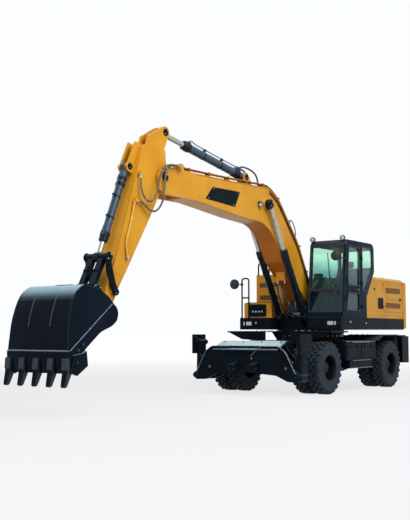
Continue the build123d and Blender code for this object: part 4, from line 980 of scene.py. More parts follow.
wiper = join(tube(0.007, 8, [at(1.06, cab_face(2.06) - 0.03, 2.055), at(0.93, cab_face(2.35) - 0.04, 2.35),
                             at(0.86, cab_face(2.62) - 0.028, 2.62)], Z),
             sweep(oblong(0.01, 0.018, 0.003), [at(0.9, cab_face(2.3) - 0.018, 2.3),
                                                at(0.82, cab_face(2.92) - 0.018, 2.92)], X),
             lathe([(0, 0.022), (0.03, 0.022), (0.036, 0.014)], at(1.06, cab_face(2.06) - 0.012, 2.058), -Y,
                   16))
make("windscreen_wiper", wiper, rubber, "upper")
visor = sweep(oblong(0.006, 0.1, 0.002), [at(0.81 + x, cab_face(3.06) - 0.055 + 0.06 * x * x, 3.085)
                                          for x in np.linspace(-0.38, 0.38, 9)], Z)
make("rain_visor", visor, rubber, "upper", 1)

# Inside the cab. Moulded consoles with levers in rubber boots, a display on a stalk, pedals and a mat on the
# floor, and a lining under the roof.
# Grained plastic: an even dark grey with a fine leathery grain. Display glass: smooth and almost black.
moulded = speckled("grained_abs_plastic", {"Roughness": 0.5}, 5, "#2A3338", "#3A454B", depth_mm=0.4)
dress(moulded, "control_console")
screen = speckled("dark_display_glass", {"Roughness": 0.08, "Coat Weight": 0.5}, 60, "#0B1A22", "#17323D")
for name, x in (("right", 0.505), ("left", 1.11)):
    boot = lathe([(0.01 * i, (0.052 - 0.0035 * i) * (1.0 if i % 2 else 0.82)) for i in range(10)],
                 at(x, -0.21, 2.178), Z, 20)
    make(f"lever_boot_{name}", boot, rubber, "upper")
    knob = lathe([(0.0, 0.02), (0.03, 0.027), (0.075, 0.031), (0.105, 0.026), (0.12, 0.012)],
                 at(x, -0.226, 2.325), Z, 20)
    make(f"lever_knob_{name}", knob, rubber, "upper", 0, 60)
    keys = [slab(0.02, 0.014, 0.003, at(x + 0.02 * (i % 2) - 0.01, -0.12 + 0.024 * (i // 2), 2.18), X, Y,
                 Z * 0.006) for i in range(8)]
    make(f"console_keys_{name}", keys, plated_steel, "upper", 1)
monitor = slab(0.2, 0.15, 0.015, at(0.53, -0.56, 2.42), Vector((1, 0.25, 0)).normalized(),
               Vector((0, -0.2, 1)).normalized(), (0.008, -0.03, 0))
make("display", monitor, moulded, "upper", 3)
glow = slab(0.17, 0.12, 0.006, at(0.529, -0.557, 2.422), Vector((1, 0.25, 0)).normalized(),
            Vector((0, -0.2, 1)).normalized(), (-0.001, 0.003, 0))
make("display_screen", glow, screen, "upper")
stalk = smooth_route([at(0.5, -0.2, 2.17), at(0.49, -0.34, 2.28), at(0.5, -0.48, 2.34),
                      at(0.532, -0.575, 2.4)])
make("display_stalk", tube(0.012, 10, stalk, X), moulded, "upper")
pedals = [slab(0.1, 0.2, 0.02, at(x, -0.6, 1.72), X, Vector((0, 0.5, 0.86)), (0, -0.008, 0.005))
          for x in (0.68, 0.94)]
pedals += [tube(0.009, 8, [at(x, -0.62, 1.72), at(x, -0.66, 1.61)], X) for x in (0.68, 0.94)]
make("travel_pedals", pedals, rubber, "upper", 2)
mat = slab(0.66, 0.8, 0.05, at(0.81, -0.3, 1.61), X, Y, Z * 0.012)
make("cab_floor_mat", mat, rubber, "upper", 3)
liner = slab(0.7, 1.1, 0.06, at(0.81, 0.02, 3.118), X, Y, -Z * 0.02)
make("roof_lining", liner, moulded, "upper", 4)

# Seat. A sprung seat on a rubber bellows: foam cushions in woven cloth, with sewn channels across the middle
# and firmer side rolls, and a headrest on two steel posts.
# Woven seat cloth: charcoal yarn, drawn 24 mm apart so that it shows, with a soft sheen.
cloth, tree, shader = finish("woven_seat_cloth", {"Roughness": 0.85, "Sheen Weight": 0.35})
place = object_place(tree)
yarns = [add(tree, "TexWave", {"Vector": place, "Scale": 1000 / 12 / 6.28, "Distortion": 0.4},
             bands_direction=way).outputs["Fac"] for way in ("X", "Z")]
weave = add(tree, "Math", {0: yarns[0], 1: yarns[1]}, operation="MULTIPLY").outputs[0]
tree.links.new(shades(tree, weave, "#20262B", "#434D55"), shader.inputs["Base Color"])
relief(tree, shader, weave, 0.7)


def cushion(centre, along, up, size, bolster, pleats):
    """A crowned cushion on a grid of angles a and b: across, along and up it measures signed powers, 0.45 or
    0.55, of the cosines and sines of a and b, times its half sizes. The upper side rises a little towards
    the middle, dips in sewn channels across the middle, and swells into a roll at each side."""
    a = (np.linspace(0, 1, 72, endpoint=False) * math.tau)[None, :]
    b = np.linspace(-0.5, 0.5, 37)[:, None] * math.pi

    def bend(wave, power):
        return np.sign(wave) * np.abs(wave) ** power

    u = bend(np.cos(b), 0.45) * bend(np.cos(a), 0.45)
    v = bend(np.cos(b), 0.45) * bend(np.sin(a), 0.45)
    w = bend(np.sin(b), 0.55) + 0 * a
    top = np.clip(w, 0, 1)
    middle = np.clip(1 - (np.abs(u) / 0.62) ** 8, 0, 1)
    crown = 1 + top * (0.12 * (1 - u ** 2) * (1 - v ** 2)
                       + bolster * np.exp(-((np.abs(u) - 0.78) / 0.13) ** 2))
    channel = sum(np.exp(-((v - place) / 0.035) ** 2) for place in pleats) * middle
    seam = np.exp(-((np.abs(u) - 0.62) / 0.03) ** 2) * (np.abs(v) < 0.9)
    w = w * crown - top * 0.16 * (channel + seam)
    half = np.array(size) / 2
    points = (np.array(centre, float) + (u * half[0])[..., None] * np.array(X)
              + (v * half[1])[..., None] * np.array(along) + (w * half[2])[..., None] * np.array(up))
    return points.reshape(-1, 3), grid_faces(37, 72)


def soft(piece, fill):
    finer = piece.modifiers.new("smoother", "SUBSURF")
    finer.levels = finer.render_levels = 1
    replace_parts(piece, "seat")


back_up = Vector((0, -0.96, 0.205)).normalized()
back_along = Vector((0, 0.205, 0.96)).normalized()
seat_x = 0.8095
base = cushion(at(seat_x, -0.01, 2.015), Y, Z, (0.49, 0.43, 0.115), 0.4, (-0.5, -0.17, 0.17, 0.5))
soft(make("seat_cushion", base, cloth, "upper", 0, 180), 0.8)
back = cushion(at(seat_x, 0.226, 2.362), back_along, back_up, (0.43, 0.56, 0.095), 0.45,
               (-0.66, -0.33, 0.0, 0.33, 0.66))
soft(make("seat_back", back, cloth, "upper", 0, 180), 0.8)
head = cushion(at(seat_x, 0.31, 2.722), back_along, back_up, (0.23, 0.15, 0.075), 0.1, (0.0,))
soft(make("seat_headrest", head, cloth, "upper", 0, 180), 0.9)
bellows = [oblong(0.29 * scale, 0.27 * scale, 0.04) for scale in (1.0, 0.88) * 5]
levels = np.linspace(1.615, 1.95, 10)
points = np.concatenate([np.column_stack([ring, np.full(len(ring), z)]) for ring, z in zip(bellows, levels)])
points += np.array(at(seat_x, 0.05, 0))
boot = make("seat_bellows", (points, capped_faces(10, len(bellows[0]))), rubber, "upper", 0, 25)
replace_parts(boot, "seat")
posts = join(*[tube(0.007, 8, [at(seat_x + x, 0.283, 2.62), at(seat_x + x, 0.303, 2.7)], X)
               for x in (-0.05, 0.05)])
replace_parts(make("headrest_posts", posts, plated_steel, "upper"), "seat")
for name, x in (("right", 0.515), ("left", 1.1)):
    pad = make(f"armrest_{name}", cushion(at(x, 0.02, 2.205), Y, Z, (0.068, 0.26, 0.05), 0.0, ()), cloth,
               "upper", 0, 180)

# Engine housing. Pressed steel panels in yellow enamel: a hood with a lid and a service door, whose two
# banks of slots let the radiator's air in, and a cast counterweight bolted behind it.
# Yellow enamel: warm and slightly uneven, paler along edges, partly rubbed and partly a painted highlight, and
# browner in corners, a painted shade tinted like dust. It is pale on what faces up, orange on what faces forward,
# and red-brown on what faces down and forward: painted light and shade by which way a face looks.
yellow = enamel("yellow_enamel", "#D08A14", "#DC9F25", "#EFC062", 0.3, dust="#A5794A", shine=0.22,
                turned=((Z, 0.25, 0.9, "#F0CE86", 0.45), (-Y, 0.75, 1.0, "#F3A524", 0.8),
                        (-0.7 * (Y + Z), 0.75, 0.95, "#C4621A", 0.85)))
dress(yellow, "engine_hood", "engine_lid", "service_door", "counterweight", "fuel_tank", "tool_box", "boom",
      "arm")
# Brown enamel, the yellow drawn darker as painted shade, on the boom's pipes and the slots' hoods, and dark mesh
# enamel on the screens behind them.
shaded_yellow = enamel("yellow_enamel_painted_shade", "#8E521A", "#A86722", "#CF9750", 0.3, dust="#7A5430", shine=0.2)
bronze, tree, shader = finish("dark_mesh_enamel", {"Roughness": 0.6})
mesh_wire = add(tree, "TexVoronoi", {"Vector": object_place(tree),
                                               "Scale": 140.0}).outputs["Distance"]
tree.links.new(shades(tree, mesh_wire, "#4A2F12", "#7A4F1D"), shader.inputs["Base Color"])
dress(charcoal, "engine_block")


def louvres(low, high, corner, out, rows, columns, gap):
    """A bank of slots: hooded bars in rows and columns. Each hood is a half drop, a section carried along y
    that stands out by a sine of its height."""
    width = (high[0] - low[0] - gap * (columns - 1)) / columns
    height = (high[1] - low[1]) / rows
    rise = np.linspace(0, 1, 6)
    bulge = np.column_stack([rise * height * 0.82, 0.014 * np.sin(rise * 2.6)])
    section = np.concatenate([bulge, [[0.82 * height, -0.002], [0, -0.002]]])
    count = len(section)
    u, v, out, corner = (np.array(way, float) for way in (Y, Z, out, corner))
    shapes = []
    for row in range(rows):
        for column in range(columns):
            foot = corner + u * (low[0] + column * (width + gap)) + v * (low[1] + row * height)
            ring = foot + section[:, :1] * v + section[:, 1:] * out
            points = np.concatenate([ring, ring + u * width])
            shapes.append((points, capped_faces(2, count)))
    return join(*shapes)


for name, low, high in (("low", (1.38, 1.795), (2.165, 1.915)), ("high", (1.38, 2.135), (2.165, 2.26))):
    back = plate([low, (high[0], low[1]), high, (low[0], high[1])], at(1.201, 0, 0), Y, Z, X * 0.002)
    make(f"slot_mesh_{name}", back, bronze, "service_door")
    make(f"slots_{name}", louvres(low, high, at(1.203, 0, 0), X, 5, 6, 0.012), shaded_yellow, "service_door", 0, 30)
ridges = join(sweep(oblong(0.01, 0.02, 0.004), [at(1.202, y, 2.345) for y in (1.33, 1.76, 2.19)], Z),
              slab(0.66, 0.1, 0.03, at(1.2, 1.8, 2.03), Y, Z, X * 0.008))
make("service_door_ridges", ridges, yellow, "service_door", 3)
pull = join(slab(0.13, 0.06, 0.012, at(1.2, 2.155, 2.0), Y, Z, X * 0.01),
            lathe([(0, 0.012), (0.014, 0.012)], at(1.206, 2.155, 2.0), X, 16))
make("service_door_latch", pull, rubber, "service_door", 2)
badge = slab(0.28, 0.25, 0.05, at(1.201, 1.085, 1.89), Y, Z, X * 0.006)
make("blank_badge", badge, charcoal, "upper", 2)
small = join(slab(0.07, 0.05, 0.01, at(1.201, 0.77, 2.205), Y, Z, X * 0.008),
             lathe([(0, 0.011), (0.012, 0.011)], at(1.205, 0.77, 2.205), X, 14))
make("hood_catch", small, rubber, "upper", 2)
creases = [sweep(oblong(0.006, 0.024, 0.003), [at(1.2015 * hand, y, z) for y in ys], Z) for hand in (1, -1)
           for z, ys in ((1.64, (0.42, 1.4, 2.3)), (2.4, (0.8, 1.5, 2.3)))]
make("hood_creases", creases, yellow, "upper", 2)

vents = louvres((0.8, 1.75), (2.2, 2.25), at(-1.201, 0, 0), -X, 12, 3, 0.03)
make("right_vents", vents, yellow, "upper", 0, 30)
seam = surround([(0.76, 1.68), (2.25, 1.68), (2.25, 2.34), (0.76, 2.34)], 0.016, 0.03, at(-1.2, 0, 0), Y, Z,
                -X * 0.004)
make("right_vent_frame", seam, yellow, "upper", 1)
catches = [lathe([(0, 0.026), (0.008, 0.026), (0.012, 0.018)], at(-1.2, y, 2.31), -X, 18)
           for y in (0.85, 2.15)]
make("right_vent_catches", catches, plated_steel, "upper")

lid_top = 2.48
swage = [slab(0.22, 1.0, 0.05, at(x, 1.54, lid_top), X, Y, Z * 0.01) for x in (-0.55, 0.0, 0.55)]
make("engine_lid_swages", swage, yellow, "engine_lid", 4)
handle = tube(0.01, 10, smooth_route([at(-0.09, 2.13, lid_top), at(-0.09, 2.135, lid_top + 0.045),
                                      at(0, 2.138, lid_top + 0.05), at(0.09, 2.135, lid_top + 0.045),
                                      at(0.09, 2.13, lid_top)]), Z)
make("engine_lid_handle", handle, rubber, "engine_lid")
# Exhaust: a short heat-blued steel outlet through the hood beside the lid.
heated = speckled("heat_blued_steel", {"Metallic": 0.7, "Roughness": 0.45}, 50, "#2C2B2F", "#5A5048")
pipe = lathe([(0, 0.075), (0.012, 0.075), (0.014, 0.052), (0.045, 0.052), (0.06, 0.055), (0.06, 0.047),
              (0.02, 0.046)], at(-1.085, 1.9, 2.47), Z, 28)
make("exhaust_outlet", pipe, heated, "upper")
cap = lathe([(0, 0.07), (0.01, 0.07), (0.014, 0.062), (0.016, 0.02)], at(1.085, 1.35, 2.468), Z, 28)
make("coolant_cap", cap, rubber, "upper")

# Counterweight. One iron casting with a rounded top, held down by two bolts, with two grips, two tail lamps
# and a camera under a hood.
for hand, side in sides:
    turn = hand * 0.36
    way = Vector((math.sin(turn), math.cos(turn), 0))
    spot = at(2.75 * math.sin(turn), 2.75 * math.cos(turn), 1.92)
    along = Vector((way.y, -way.x, 0))
    case = slab(0.26, 0.11, 0.03, spot - way * 0.006, along, Z, way * 0.016)
    make(f"tail_lamp_case_{side}", case, rubber, "upper", 3)
    for tint, shift in (("red", -0.06), ("amber", 0.06)):
        glass = slab(0.1, 0.08, 0.02, spot + along * shift * hand + way * 0.009, along, Z, way * 0.006)
        make(f"tail_lamp_{tint}_{side}", glass, lens_finishes[tint], "upper", 2)
hood = rounded([(-0.06, 2.41), (0.06, 2.41), (0.045, 2.48), (-0.045, 2.48)], 0.012)
eye = join(plate(hood, at(0, 2.6, 0), X, Z, Y * 0.08),
           lathe([(0, 0.024), (0.014, 0.024), (0.018, 0.018)], at(0, 2.675, 2.446), Y, 20))
make("rear_camera", eye, rubber, "upper", 3)
make("counterweight_bolts", bolts([at(x, 2.4, 2.42) for x in (-0.85, 0.85)], Z, 0.02), plated_steel, "upper")
grip = [tube(0.012, 10, smooth_route([at(x, 2.5, 2.418), at(x, 2.5, 2.47), at(x, 2.62, 2.475),
                                      at(x, 2.64, 2.415)]), X) for x in (-0.95, 0.95)]
make("counterweight_grips", grip, charcoal, "upper")

# Tank and tool box. Welded boxes in yellow, with a filler cap, checkered lids, a sight tube and two step
# rims, and a lamp housing on the tool box's front.
cap = lathe([(0, 0.068), (0.03, 0.068), (0.036, 0.06), (0.038, 0.02)], at(-0.8, 0.3, 2.572), Z, 28)
make("filler_cap", cap, rubber, "upper")
lid = slab(0.6, 0.36, 0.03, at(-0.79, -0.16, 2.53), X, Y, Z * 0.006)
make("tank_tread", lid, checkered, "upper", 1)
steps = [slab(0.5, 0.1, 0.03, at(-0.79, -0.4505, z), X, Z, -Y * 0.006) for z in (2.02, 2.3)]
make("tank_step_rims", steps, bronze, "upper", 2)
sight = join(lathe([(0, 0.01), (0.4, 0.01)], at(-0.5, -0.462, 1.98), Z, 12),
             lathe([(0, 0.018), (0.03, 0.018)], at(-0.5, -0.462, 1.96), Z, 12),
             lathe([(0, 0.018), (0.03, 0.018)], at(-0.5, -0.462, 2.38), Z, 12))
make("tank_sight_tube", sight, plated_steel, "upper")
strap = rounded([(-1.154, 1.56), (-1.154, 2.534), (-0.426, 2.534), (-0.426, 1.56)], 0.045, False)
make("tank_strap", sweep(oblong(0.006, 0.045, 0.002), [at(x, 0.47, z) for x, z in strap], Y), yellow,
     "upper", 1)
lid = slab(0.66, 0.44, 0.03, at(-0.79, -0.7, 1.88), X, Y, Z * 0.016)
make("tool_box_lid", lid, checkered, "upper", 3)
case = slab(0.42, 0.27, 0.04, at(-0.775, -0.945, 1.715), X, Z, -Y * 0.03)
make("front_lamp_case", case, charcoal, "upper", 4)
face = slab(0.36, 0.21, 0.03, at(-0.775, -0.975, 1.72), X, Z, -Y * 0.004)
make("front_lamp_face", face, charcoal, "upper", 1)
for index, x in enumerate((-0.89, -0.813, -0.737, -0.66)):
    bead = lathe([(0, 0.022), (0.006, 0.02), (0.009, 0.012)], at(x, -0.979, 1.69), -Y, 20)
    make(f"front_lamp_lens_{index}", bead, lens_finishes["clear"], "upper", 0, 60)
marker = slab(0.16, 0.045, 0.015, at(-0.775, -0.95, 1.59), X, Z, -Y * 0.012)
make("front_lamp_marker", marker, lens_finishes["amber"], "upper", 2)

# Handrails and mirrors. The rails are bent steel tube on flanged feet. Each mirror is a round glass in a
# domed rubber shell.
feet = [lathe([(0, 0.036), (0.008, 0.036), (0.009, 0.022), (0.02, 0.02)], at(*place), Z, 20) for place in (
    (-1.18, -0.975, deck_high), (-1.0, -0.975, deck_high), (-1.12, -0.38, 2.53), (-1.12, 0.54, 2.53),
    (-1.12, 0.08, 2.53))]
make("handrail_feet", feet, charcoal, "upper", 1)
# Mirror glass: silvered, so it shows the room sharply.
silvered = speckled("silvered_mirror_glass", {"Metallic": 1.0, "Roughness": 0.03}, 200, "#C9D3D6", "#DDE5E8")
for name, (x, y, z), radius, thick in (("right", (-1.265, -1.165, 2.3), 0.11, 0.035),
                                       ("left", (1.185, -1.06, 2.815), 0.1, 0.03)):
    shell = lathe([(-0.002, radius), (0.004, radius * 0.99), (0.018, radius * 0.85), (0.03, radius * 0.55),
                   (0.035, 0.02)], at(x, y, z), -Y, 32)
    make(f"mirror_shell_{name}", shell, rubber, "upper", 0, 60)
    glass = lathe([(0, radius * 0.9), (0.003, radius * 0.88), (0.005, radius * 0.3)], at(x, y + thick, z), Y,
                  32)
    make(f"mirror_glass_{name}", glass, silvered, "upper", 0, 60)

# Boom. A box welded from 10 to 16 mm plate, whose upper and lower plates stand proud of its sides. Steel oil
# pipes are clamped along its back, and a plain charcoal panel is screwed to each side.
boom_back = [(-5.08, 4.09), (-3.48, 4.13), (-2.08, 4.18), (-1.86, 4.09), (-1.64, 3.95),
             (-1.24, 3.52), (-0.86, 3.11), (-0.36, 2.265)]
boom_belly = [(-5.0, 3.8), (-4.85, 3.62), (-4.45, 3.6), (-3.14, 3.48), (-2.33, 3.44),
              (-2.04, 3.32), (-1.81, 3.11), (-1.54, 2.7), (-0.9, 2.213)]


def lane(line, x, lift, reach=0.1):
    """A side line as a path at x, moved off the line by lift, with its corners rounded."""
    line = rounded(np.asarray(line, float), reach, False)
    ahead = heading(line)
    line = line + np.column_stack([-ahead[:, 1], ahead[:, 0]]) * lift
    return [at(x, y, z) for y, z in line]


edges = [sweep(oblong(0.014, 0.016, 0.004), lane(line, hand * 0.214, lift), X) for hand in (1, -1)
         for line, lift in ((boom_back, -0.008), (boom_belly, 0.008))]
make("boom_plate_edges", edges, yellow, "boom", 0, 30)
back_low = [(-2.02, 4.16)] + boom_back[3:]
lines = [tube(0.009, 8, lane(back_low, 0.217, -inward, 0.2), X) for inward in (0.05, 0.09)]
make("boom_grease_lines", lines, charcoal, "boom")
loop = smooth_route([at(0.185, y, z) for y, z in ((-1.28, 3.54), (-1.22, 3.61), (-1.11, 3.62), (-1.0, 3.51),
                                                  (-0.94, 3.37), (-0.96, 3.26), (-1.02, 3.24))])
make("boom_back_hose", tube(0.011, 10, loop, X), hose_rubber, "boom")
seams = [tube(0.005, 6, [at(hand * 0.2115, y, z) for y, z in line], X) for hand in (1, -1) for line in (
    [(-4.555, 3.63), (-4.545, 4.08)], [(-2.6, 3.47), (-2.55, 4.14)], [(-0.95, 2.28), (-0.62, 2.68)])]
make("boom_welds", seams, yellow, "boom")
for hand, side in sides:
    pipes = [tube(0.015, 12, lane(boom_back, hand * x, 0.06, 0.2), X) for x in (0.118, 0.168)]
    clamps, heads = [], []
    make(f"boom_pipes_{side}", pipes, shaded_yellow, "boom")
    route = lane(boom_back, hand * 0.143, 0.014, 0.01)
    spine = np.array([tuple(point) for point in route])
    run = distances(spine)
    for distance in np.linspace(0.35, run[-1] - 0.3, 9):
        place = [np.interp(distance + step, run, spine[:, axis]) for step in (-0.02, 0.02)
                 for axis in (0, 1, 2)]
        start, end = Vector(place[:3]), Vector(place[3:])
        up = X.cross(end - start).normalized() * (1 if (end - start).y > 0 else -1)
        clamps.append(slab(0.12, 0.04, 0.008, (start + end) / 2 - up * 0.012, X,
                           (end - start).normalized(), up * 0.078))
        heads.append((start + end) / 2 + up * 0.066)
    make(f"boom_pipe_clamps_{side}", clamps, shaded_yellow, "boom", 3)
    make(f"boom_clamp_bolts_{side}", bolts(heads, (0, 0.3, 1), 0.006), plated_steel, "boom")
    panel = rounded([(-4.264, 3.682), (-3.299, 3.641), (-3.124, 3.957), (-4.043, 3.93)], 0.015)
    make(f"boom_side_panel_{side}", plate(panel, at(hand * 0.2095, 0, 0), Y, Z, X * hand * 0.005), charcoal,
         "boom", 1)
    screws = bolts([at(hand * 0.214, y, z) for y, z in ((-4.17, 3.71), (-3.34, 3.675), (-3.19, 3.93),
                                                        (-4.01, 3.9))], X * hand, 0.005)
    make(f"boom_panel_screws_{side}", screws, plated_steel, "boom")
    pin_cap("boom_tip", hand, (0.236, -5.48, 3.9), 0.082, "boom")
    pin_cap("boom_eye", hand, (0.339, -2.18, 3.82), 0.078, "boom")
    boss = lathe([(0, 0.15), (0.01, 0.148), (0.014, 0.125)], at(hand * 0.209, -2.18, 3.82), X * hand, 40)
    make(f"boom_eye_boss_{side}", boss, yellow, "boom", 0, 30)
    pin_cap("arm_base", hand, (0.087, -2.7, 4.33), 0.058, "boom")
    tip_pipe = smooth_route([at(hand * x, y, z) for x, y, z in ((0.143, -5.06, 4.118), (0.16, -5.12, 4.155),
                                                                (0.2, -5.16, 4.165), (0.23, -5.125, 4.15))])
    make(f"boom_tip_elbow_{side}", tube(0.013, 12, tip_pipe, X), plated_steel, "boom")
blocks = [lathe([(0, 0.021), (0.03, 0.021), (0.031, 0.016), (0.055, 0.016)], at(x, -5.092, 4.125), Y, 6)
          for x in (0.18, 0.225, 0.27, 0.315)]
make("boom_tip_unions", blocks, plated_steel, "boom")
lamp_unit("boom_work_lamp", at(0.268, -2.47, 3.78), Vector((0.25, -1, -0.35)), 0.052, 0.07, "clear", "boom")
stand = join(block(at(0.205, -2.48, 3.745), at(0.225, -2.4, 3.855)),
             block(at(0.215, -2.46, 3.835), at(0.275, -2.415, 3.847)))
make("boom_work_lamp_stand", stand, charcoal, "boom", 2)
arcs = [smooth_route([at(x * wide, y, z) for wide, y, z in (
    (1, -2.955, 4.462), (1.15, -2.88, 4.515), (1.4, -2.66, 4.515), (1.7, -2.42, 4.46), (1.75, -2.3, 4.33),
    (1.6, -2.28, 4.185))]) for x in (0.055, -0.055)]
knee = make("knee_hoses", join(*[tube(0.018, 10, line, X) for line in arcs]), hose_rubber, None)
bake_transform(knee)
unions = [lathe([(0, 0.024), (0.03, 0.024), (0.032, 0.017), (0.05, 0.017)], at(x * 1.6, -2.282, 4.16), Z, 6)
          for x in (0.055, -0.055)]
make("knee_unions", unions, plated_steel, "boom")

# Hydraulic cylinders. Honed steel tubes in blue-grey enamel with a screwed gland at the mouth, oil ports fed
# by a steel pipe along the tube, and rods of hard chrome.
# Blue-grey enamel, glossy, with a paler painted sky reflection on what faces up, and a darker navy on the lower
# cylinders.
steel_blue = enamel("blue_grey_enamel", "#243A4C", "#334D60", "#7C97A8", 0.2, 4, shine=0.35,
                    turned=[(Z, 0.25, 0.9, "#6E93AA", 0.6)])
navy = enamel("dark_navy_enamel", "#0A111B", "#111B28", "#3B4A5A", 0.2, 4, shine=0.15)
dress(steel_blue, "arm_barrel", "bucket_barrel")
dress(navy, "boom_barrels", "stabiliser_barrel_left", "stabiliser_barrel_right", "blade_barrels")
# Hard chrome: a mirror, greyed by a film of oil and faintly clouded by grinding.
chrome = speckled("ground_hard_chrome", {"Metallic": 1.0}, 40, "#98A3A0", "#BCC4C1", (0.1, 0.2), detail=2.0)
dress(chrome, "boom_rods", "arm_rod", "bucket_rod", "stabiliser_rod_left", "stabiliser_rod_right",
      "blade_rods")


def barrel_fittings(name, base, tip, ray, length, width, body, paint, pipe_way, ring=0.006):
    """A barrel's gland, bands, ports and pipe. They lie along the line from base to tip, on the side that
    pipe_way points to."""
    base, way = Vector(base), (Vector(tip) - Vector(base)).normalized()
    gland = lathe([(length - 0.15, ray - 0.001), (length - 0.15, ray + ring * 0.4),
                   (length - 0.145, ray + ring), (length - 0.075, ray + ring),
                   (length - 0.072, ray + ring * 0.6), (length - 0.004, ray + ring * 0.6),
                   (length, ray + ring * 0.3), (length + 0.012, width + 0.022),
                   (length + 0.026, width + 0.014), (length + 0.028, width + 0.001),
                   (length + 0.001, width + 0.001), (length + 0.001, ray - 0.001)], base, way, 40, True)
    make(f"{name}_gland", gland, navy, body, 0, 30)
    out = (Vector(pipe_way) - Vector(pipe_way).dot(way) * way).normalized()
    across = way.cross(out)
    start, end = ray + 0.15, length - 0.11
    ports = [slab(0.06, 0.07, 0.01, base + way * distance + out * (ray - 0.004), way, across,
                  out * 0.034) for distance in (start, end)]
    make(f"{name}_ports", ports, paint, body, 3)
    line = [base + way * distance + out * (ray + lift) for distance, lift in ((start, 0.03), (start, 0.052),
        (start + 0.05, 0.056), (start + 0.15, 0.04), (start + 0.3, 0.034), (end - 0.3, 0.034),
        (end - 0.15, 0.04), (end - 0.05, 0.056), (end, 0.052), (end, 0.03))]
    make(f"{name}_pipe", tube(0.0105, 10, smooth_route(line), across), paint, body)
    bands = [lathe([(distance - 0.016, ray - 0.001), (distance - 0.015, ray + 0.004),
                    (distance + 0.015, ray + 0.004), (distance + 0.016, ray - 0.001)], base, way, 36, True)
             for distance in (length * 0.42, length * 0.7)]
    bands += [slab(0.034, 0.05, 0.006, base + way * distance + out * ray, way, across, out * 0.05)
              for distance in (length * 0.42, length * 0.7)]
    make(f"{name}_bands", bands, navy, body, 1, 30)
    if ring > 0.01:
        collar = [lathe([(distance - 0.03, ray - 0.001), (distance - 0.026, ray + 0.014),
                         (distance + 0.026, ray + 0.014), (distance + 0.03, ray - 0.001)], base, way, 40,
                        True) for distance in (0.235, 0.345)]
        make(f"{name}_collars", collar, navy, body, 0, 30)
    nipple = lathe([(0, 0.009), (0.012, 0.009), (0.014, 0.005), (0.022, 0.005)], base - way * (ray + 0.004),
                   -way, 8)
    make(f"{name}_nipple", nipple, plated_steel, body)


barrel_fittings("arm_barrel", at(0, -2.7, 4.33), at(0, -5.31, 4.73), 0.078, 1.99, 0.05, "arm_barrel",
                steel_blue, (0.5, 0, 1), 0.016)
barrel_fittings("bucket_barrel", at(0, -6.24, 3.98), at(0, -6.88, 2.42), 0.066, 1.39, 0.042, "bucket_barrel",
                steel_blue, (0.25, -1, 0), 0.016)
for hand, side in sides:
    barrel_fittings(f"boom_barrel_{side}", at(hand * 0.302, -0.8, 1.56), at(hand * 0.302, -2.18, 3.82), 0.07,
                    1.6, 0.045, "boom_barrels", navy, (-hand * 0.15, -1, 0), 0.006)
    eye = lathe([(-0.039, 0.075), (-0.039, 0.1), (-0.035, 0.104), (0.035, 0.104), (0.039, 0.1),
                 (0.039, 0.075)], at(hand * 0.302, -2.18, 3.82), X, 36, True)
    make(f"boom_rod_eye_{side}", eye, navy, "boom_rods", 0, 30)
for name, place, radius, half, body in (("arm_rod", (-5.31, 4.73), 0.089, 0.0505, "arm_rod"),
                                        ("bucket_rod", (-6.88, 2.42), 0.079, 0.0505, "bucket_rod")):
    eye = lathe([(-half, radius - 0.03), (-half, radius - 0.004), (0.004 - half, radius),
                 (half - 0.004, radius), (half, radius - 0.004), (half, radius - 0.03)], at(0, *place), X, 36,
                True)
    make(f"{name}_eye", eye, navy, body, 0, 30)

# Arm. A tapering box welded like the boom, whose front and rear plates stand proud of its sides, with ears
# for two cylinders and one oil pipe down each side.
arm_front = [(-5.985, 4.38), (-6.62, 2.45), (-7.0, 1.6)]
arm_rear = [(-5.372, 4.13), (-5.6, 3.55), (-5.84, 3.15), (-6.09, 2.75), (-6.39, 2.27), (-6.6, 1.95),
            (-6.8, 1.56)]
